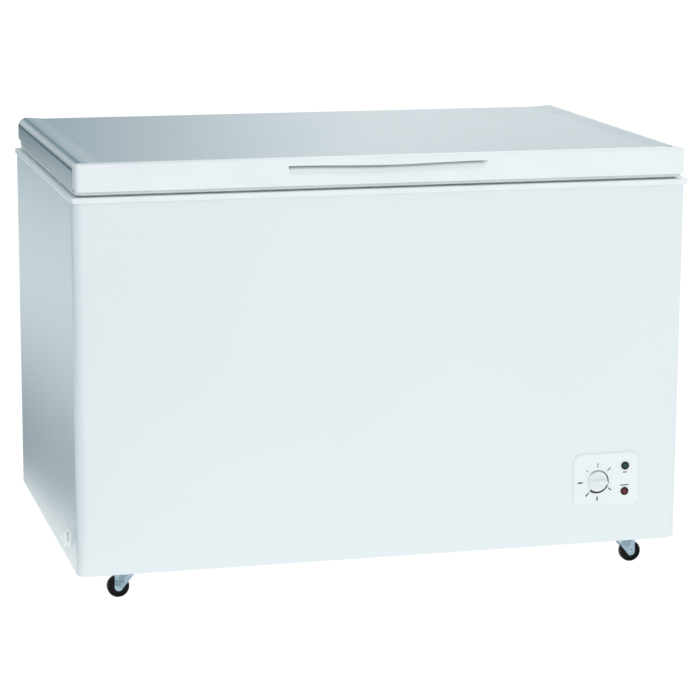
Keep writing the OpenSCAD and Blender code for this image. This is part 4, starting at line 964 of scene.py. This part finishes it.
class FREEZER_OT_lid(bpy.types.Operator):
    """Lid skin, front moulding, inner panel and gasket"""
    bl_idname = "freezer.lid"
    bl_label = "Lid"

    def execute(self, context):
        look = context.scene.freezer_look
        lo, hi = cad("lid_skin")
        body_lo, body_hi = cad("cabinet_wrap")
        # The lid's skin wears the dark blue-grey finish, which is painted shade and painted reflection on a white lid.
        piece("lid_sheet_painted_shade", lid_shell(lo, hi, hi[2], look.lid_roll * 1000, (hi[1] - 62, hi[1] - 36)),
              PAINTS["lid_sheet_painted_shade"], "lid", ("lid_skin",), sharp=40)
        lo, hi = cad("lid_front_trim")
        deep = min(RECESS_DEEP, hi[1] - lo[1] - 3)
        piece("lid_moulding", front_trim(lo, hi, RECESS_HALF, RECESS_TALL, deep, hi[2] - LIP_DROP),
              PAINTS["white_gloss"], "lid", ("lid_front_trim",), sharp=40)
        lo, hi = cad("lid_liner")
        g_lo, g_hi = cad("lid_gasket")
        plug = (body_lo[0] + PLUG_IN, body_hi[0] - PLUG_IN, body_lo[1] + PLUG_IN, body_hi[1] - PLUG_IN)
        piece("inner_lid", inner_lid(lo, hi, plug), PAINTS["white"], "lid", ("lid_liner",))
        f_lo, f_hi = cad("lid_foam")
        f_lo[:2], f_hi[:2] = lo[:2], hi[:2]
        flange = lo[2] + 12
        piece("lid_foam_core", foam_core(f_lo, f_hi, plug, flange), PAINTS["foam"], "lid", ("lid_foam",))
        piece("magnet_gasket", gasket_band(g_lo, g_hi, flange), PAINTS["gasket"], "lid", ("lid_gasket",))
        return {"FINISHED"}


class FREEZER_OT_hinges(bpy.types.Operator):
    """Hinge brackets, leaves, pins, plungers and springs"""
    bl_idname = "freezer.hinges"
    bl_label = "Hinges"

    def execute(self, context):
        for side in ("left", "right"):
            eased("hinge_bracket_" + side, "hinge_housing_" + side, PAINTS["zinc"], "cabinet", 0.5)
            eased("hinge_leaf_" + side, "hinge_cam_leaf_" + side, PAINTS["zinc"], "lid", 0.5)
            eased("hinge_plunger_" + side, "hinge_slider_" + side, PAINTS["black"], "plunger_" + side, 0.6)
            lo, hi = cad("hinge_spring_" + side)
            mid = (lo + hi) / 2
            r = (hi[0] - lo[0]) / 2 - 1.3
            piece("coil_spring_" + side, coil(mid[0], mid[1], r, 1.3, lo[2], hi[2], 12), PAINTS["steel"], "cabinet",
                  ("hinge_spring_" + side,))
        eased("hinge_pins", "hinge_pin_pair", PAINTS["steel"], "cabinet", 0.6)
        return {"FINISHED"}


class FREEZER_OT_controls(bpy.types.Operator):
    """Control panel with its printed scale, knob and pilot lamps"""
    bl_idname = "freezer.controls"
    bl_label = "Controls"

    def execute(self, context):
        lo, hi = cad("control_panel")
        k_lo, k_hi = cad("knob")
        body_lo, _ = cad("cabinet_wrap")
        mid = (lo + hi) / 2
        thick = body_lo[1] - lo[1]
        plate = turned(panel_plate(hi[0] - lo[0], hi[2] - lo[2], 18, thick), "-Y")
        plate = moved(plate, (mid[0], body_lo[1], mid[2]))
        piece("control_plate", plate, PAINTS["white_gloss"], "cabinet", ("control_panel",))
        kx, kz = (k_lo[0] + k_hi[0]) / 2, (k_lo[2] + k_hi[2]) / 2
        marks = [printed_arc(21.4, 0.8, 4.0, 137, -131)]
        for deg, r0, r1, a, b in ((90, 27.5, 38, 1.0, 1.8), (135, 28, 35, 0.8, 1.3), (45, 28.5, 38.5, 1.2, 2.2),
                                  (-33, 26, 36, 1.4, 2.4), (-90, 30.5, 40.5, 2.2, 2.8), (-129, 27, 39, 1.6, 3.0)):
            c, s = math.cos(math.radians(deg)), math.sin(math.radians(deg))
            marks.append(printed_dash(r0 * c, r0 * s, r1 * c, r1 * s, a, b))
        marks.append(printed_dash(-28, -1, -42.5, -1.4, 1.0, 1.6))
        marks.append(printed_dash(-33, -1.2, -41.5, -1.4, 3.2, 2.6))
        scale = moved(turned(together(*marks), "-Y"), (kx, lo[1] + 0.06, kz))
        lamps = []
        for node, name in (("green_lamp", "green"), ("red_lamp", "red")):
            l_lo, l_hi = cad(node)
            lx, lz = (l_lo[0] + l_hi[0]) / 2, (l_lo[2] + l_hi[2]) / 2
            place = (lx, lo[1], lz)
            piece(name + "_lens", moved(turned(lamp_lens(6.0, lo[1] - l_lo[1]), "-Y"), place), PAINTS[name],
                  "cabinet", (node,))
            piece(name + "_bezel", moved(turned(lamp_bezel(8.2, 1.3), "-Y"), place), PAINTS["black"], "cabinet",
                  ())
            lamps.append((lx, lz))
        (gx, gz), (rx, rz) = lamps
        dash = moved(turned(printed_dash(-4.6, 0, 4.6, 0, 1.9, 1.9), "-Y"), (gx, lo[1] + 0.06, gz - 13.6))
        line = moved(turned(printed_dash(-10.5, -0.2, 9.5, 0.2, 1.8, 1.8), "-Y"), (rx, lo[1] + 0.06, rz + 12.6))
        piece("printed_scale", together(scale, dash, line), PAINTS["ink"], "cabinet", ())
        knob = turned(knob_face((k_hi[0] - k_lo[0]) / 2 - 2.6, 5, k_hi[1] - k_lo[1]), "-Y")
        piece("thermostat_knob", moved(knob, (kx, k_hi[1], kz)), PAINTS["white"], "knob", ("knob",),
              sharp=50)
        eased("thermostat_spindle", "knob_spindle", PAINTS["steel"], "knob", 0.4)
        eased("thermostat", "thermostat_switch", PAINTS["galvanised"], "cabinet", 0.6)
        return {"FINISHED"}


class FREEZER_OT_drain(bpy.types.Operator):
    """Drain flange and its screw cap"""
    bl_idname = "freezer.drain"
    bl_label = "Drain"

    def execute(self, context):
        s_hi = cad("drain_spout")[1]
        c_lo, c_hi = cad("drain_cap")
        body_lo, _ = cad("cabinet_wrap")
        y, z = (c_lo[1] + c_hi[1]) / 2, (c_lo[2] + c_hi[2]) / 2
        flange = drain_flange(18.5, 7.0, 3.4)
        pipe = lathe([[7.0, 0.2], [9.6, 0.2], [9.6, -40], [7.0, -40]], 48)
        mouth = moved(turned(together(flange, pipe), "-X"), (body_lo[0] - 0.1, y, z))
        turn_x = s_hi[0] - 12
        elbow = rod(bent([(body_lo[0] + 38, y, z), (turn_x, y, z), (turn_x, y, s_hi[2])], 9), 9.6, 24, up=(0, 1, 0))
        piece("drain_elbow", together(mouth, elbow), PAINTS["cap"], "cabinet", ("drain_spout",))
        cap = drain_cap_face(18, c_lo[0] * -1 + (body_lo[0] - 7.3), 8.0, 2.5, 6.92, 15)
        piece("drain_screw_cap", moved(turned(cap, "-X"), (body_lo[0] - 7.3, y, z)), PAINTS["cap"], "drain_cap",
              ("drain_cap",))
        return {"FINISHED"}


class FREEZER_OT_basket(bpy.types.Operator):
    """Coated wire basket"""
    bl_idname = "freezer.basket"
    bl_label = "Basket"

    def execute(self, context):
        lo, hi = cad("basket")
        piece("wire_basket", basket_wires(lo, hi, 25.0, hi[2] - 5, 3.0), PAINTS["wire"], "basket", ("basket",),
              sharp=60)
        return {"FINISHED"}


class FREEZER_OT_casters(bpy.types.Operator):
    """Four swivel casters"""
    bl_idname = "freezer.casters"
    bl_label = "Casters"

    def execute(self, context):
        # The caster zinc's strong dark and bright patches are partly spangle and partly painted reflection.
        eased("caster_plates", "caster_top_plates", PAINTS["caster_zinc"], "cabinet", 0.4)
        for at in ("fl", "fr", "rl", "rr"):
            w_lo, w_hi = cad("caster_wheel_" + at)
            a_lo, a_hi = cad("caster_axle_" + at)
            mid = (w_lo + w_hi) / 2
            tyre = turned(caster_tyre((w_hi[0] - w_lo[0]) / 2, (w_hi[1] - w_lo[1]) / 2 - 0.4, 3.05), "-Y")
            rivet = turned(caster_rivet(3.0, (a_hi[1] - a_lo[1]) / 2 - 1.5, 5.0), "-Y")
            piece("caster_tyre_" + at, moved(tyre, mid), PAINTS["tread"], "wheel_" + at,
                  ("caster_wheel_" + at,))
            piece("caster_rivet_" + at, moved(rivet, mid), PAINTS["caster_zinc"], "swivel_" + at,
                  ("caster_axle_" + at,))
            eased("caster_fork_" + at, "caster_yoke_" + at, PAINTS["caster_zinc"], "swivel_" + at, 0.7, 3)
        return {"FINISHED"}


class FREEZER_OT_machine(bpy.types.Operator):
    """Compressor, pipes and the other parts inside the machine compartment"""
    bl_idname = "freezer.machine"
    bl_label = "Machine parts"

    def execute(self, context):
        eased("compressor", "compressor_pot", PAINTS["pot"], "cabinet", 0.7)
        eased("compressor_tray", "compressor_base", PAINTS["galvanised"], "cabinet", 0.3)
        eased("compressor_grommets", "compressor_feet", PAINTS["rubber"], "cabinet", 0.6)
        eased("compressor_bolts", "compressor_studs", PAINTS["zinc"], "cabinet", 0.4)
        eased("start_relay", "relay_cover", PAINTS["black"], "cabinet", 1.5, 3)
        eased("filter_drier", "drier", PAINTS["copper"], "cabinet", 0.5)
        for node, name in (("refrigerant_pipes", "copper_pipes"), ("condenser_coil", "hot_wall_coil"),
                           ("thermostat_bulb", "sensing_bulb")):
            eased(node, name, PAINTS["copper"], "cabinet", 0, sharp=60)
        eased("evaporator_coil", "cold_coil", PAINTS["aluminium"], "cabinet", 0, sharp=60)
        eased("compartment_wall", "partition", PAINTS["galvanised"], "cabinet", 0.3)
        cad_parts["cabinet_foam"].data.materials.clear()
        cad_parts["cabinet_foam"].data.materials.append(PAINTS["foam"])
        return {"FINISHED"}


class FREEZER_OT_screws(bpy.types.Operator):
    """Screws of the cabinet, the lid and the casters"""
    bl_idname = "freezer.screws"
    bl_label = "Screws"

    def execute(self, context):
        for kind, body in (("cabinet", "cabinet"), ("lid", "lid"), ("caster", "cabinet")):
            eased(kind + "_screws", kind + "_screw_set", PAINTS["zinc"], body, 0.7, 3)
        return {"FINISHED"}


class FREEZER_OT_stage(bpy.types.Operator):
    """Floor, lights, world and camera"""
    bl_idname = "freezer.stage"
    bl_label = "Studio"

    def execute(self, context):
        stage = context.scene.freezer_stage
        floor = bpy.data.objects.new("studio_floor", bpy.data.meshes.new("studio_floor"))
        floor.data.from_pydata([(x, y, 0) for x, y in FLOOR_CORNERS], [], [(0, 1, 2, 3)])
        context.scene.collection.objects.link(floor)
        p = Paint("studio_floor")
        near = p.node("ShaderNodeVectorMath", {"operation": "DOT_PRODUCT"}, {0: p.where(), 1: (1, -0.13, 0)}, "Value")
        shade = tuple(stage.shade_side)
        stops = [(0.44, FAR_SHADE), (0.57, FLOOR_PALE), (0.765, FLOOR_PALE), (0.90, shade), (0.945, shade),
                 (0.968, FLOOR_WHITE)]
        glow = p.node("ShaderNodeValToRGB", {"stops": stops}, {"Fac": p.between(near, -4.0, -0.6)})
        seen = p.node("ShaderNodeLightPath", out="Is Camera Ray")
        floor.data.materials.append(p.finish(Base_Color=(stage.floor_white,) * 3, Roughness=1.0,
                                             Specular_IOR_Level=0.0, Emission_Strength=1.0,
                                             Emission_Color=p.mix(seen, glow, FLOOR_WHITE)))

        world = bpy.data.worlds.new("studio")
        world.use_nodes = True
        nodes, links = world.node_tree.nodes, world.node_tree.links
        place = nodes.new("ShaderNodeTexCoord")
        toward = nodes.new("ShaderNodeVectorMath")
        toward.operation = "DOT_PRODUCT"
        toward.inputs[1].default_value = (0.78, -0.60, 0.18)
        spread = nodes.new("ShaderNodeMapRange")
        spread.inputs["From Min"].default_value, spread.inputs["From Max"].default_value = -1, 1
        ramp = nodes.new("ShaderNodeValToRGB")
        links.new(place.outputs["Generated"], toward.inputs[0])
        links.new(toward.outputs["Value"], spread.inputs["Value"])
        links.new(spread.outputs[0], ramp.inputs[0])
        seen = nodes.new("ShaderNodeLightPath")
        plain = nodes.new("ShaderNodeMix")
        plain.data_type = "RGBA"
        plain.inputs[7].default_value = (1.0, 1.0, 1.0, 1)
        links.new(seen.outputs["Is Camera Ray"], plain.inputs[0])
        links.new(ramp.outputs[0], plain.inputs[6])
        links.new(plain.outputs[2], nodes["Background"].inputs["Color"])
        sky = ramp.color_ramp.elements
        for _ in SKY_GLOWS[2:]:
            sky.new(0.5)
        for stop, (at, tint) in zip(sky, SKY_GLOWS):
            stop.position, stop.color = at, (*tint, 1)
        context.scene.world = world

        def soft_light(name, place, aim, size, watts, tint=(1, 1, 1)):
            lamp = bpy.data.lights.new(name, "AREA")
            lamp.shape, lamp.size, lamp.size_y = "RECTANGLE", size[0], size[1]
            lamp.energy, lamp.color = watts, tint
            obj = bpy.data.objects.new(name, lamp)
            obj.location = place
            obj.rotation_euler = (Vector(aim) - Vector(place)).to_track_quat("-Z", "Y").to_euler()
            context.scene.collection.objects.link(obj)

        soft_light("front_softbox", (-2.0, -4.0, 2.3), (-0.4, -0.4, 0.7), (2.0, 1.6), stage.key)
        soft_light("top_softbox", (0.8, -0.2, 4.0), (0, 0, 0.8), (4.0, 3.0), stage.key * 0.3)

        cam = bpy.data.cameras.new("camera")
        cam.lens, cam.sensor_width = stage.lens, 36
        cam.clip_end = 500
        obj = bpy.data.objects.new("camera", cam)
        yaw, pitch, roll = (math.radians(a) for a in CAMERA_TURN)
        ahead = Vector((math.sin(yaw) * math.cos(pitch), math.cos(yaw) * math.cos(pitch), -math.sin(pitch)))
        right = Vector((math.cos(yaw), -math.sin(yaw), 0))
        up = right.cross(ahead)
        right = right * math.cos(roll) + up * math.sin(roll)
        up = right.cross(ahead)
        aim = Matrix((right, up, -ahead)).transposed().to_4x4()
        obj.matrix_world = Matrix.Translation(CAMERA_AT) @ aim
        context.scene.collection.objects.link(obj)
        context.scene.camera = obj
        context.scene.view_settings.view_transform = "Standard"
        return {"FINISHED"}


class FREEZER_PT_panel(bpy.types.Panel):
    """Lists the freezer's settings and pieces in the sidebar"""
    bl_idname = "FREEZER_PT_panel"
    bl_label = "Chest Freezer"
    bl_space_type = "VIEW_3D"
    bl_region_type = "UI"
    bl_category = "Freezer"

    def draw(self, context):
        for group in (context.scene.freezer_look, context.scene.freezer_stage):
            for key in group.__annotations__:
                self.layout.prop(group, key)
        for step in steps():
            self.layout.operator(step.bl_idname)


CLASSES = (FreezerLook, FreezerStage, FREEZER_OT_cabinet, FREEZER_OT_rim, FREEZER_OT_tub, FREEZER_OT_lid,
           FREEZER_OT_hinges, FREEZER_OT_controls, FREEZER_OT_drain, FREEZER_OT_basket, FREEZER_OT_casters,
           FREEZER_OT_machine, FREEZER_OT_screws, FREEZER_OT_stage, FREEZER_PT_panel)


def register():
    for c in CLASSES:
        bpy.utils.register_class(c)
    bpy.types.Scene.freezer_look = bpy.props.PointerProperty(type=FreezerLook)
    bpy.types.Scene.freezer_stage = bpy.props.PointerProperty(type=FreezerStage)


def unregister():
    del bpy.types.Scene.freezer_look
    del bpy.types.Scene.freezer_stage
    for c in reversed(CLASSES):
        bpy.utils.unregister_class(c)


def main():
    register()
    for step in steps():
        group, name = step.bl_idname.split(".")
        getattr(getattr(bpy.ops, group), name)()


if __name__ == "__main__":
    main()
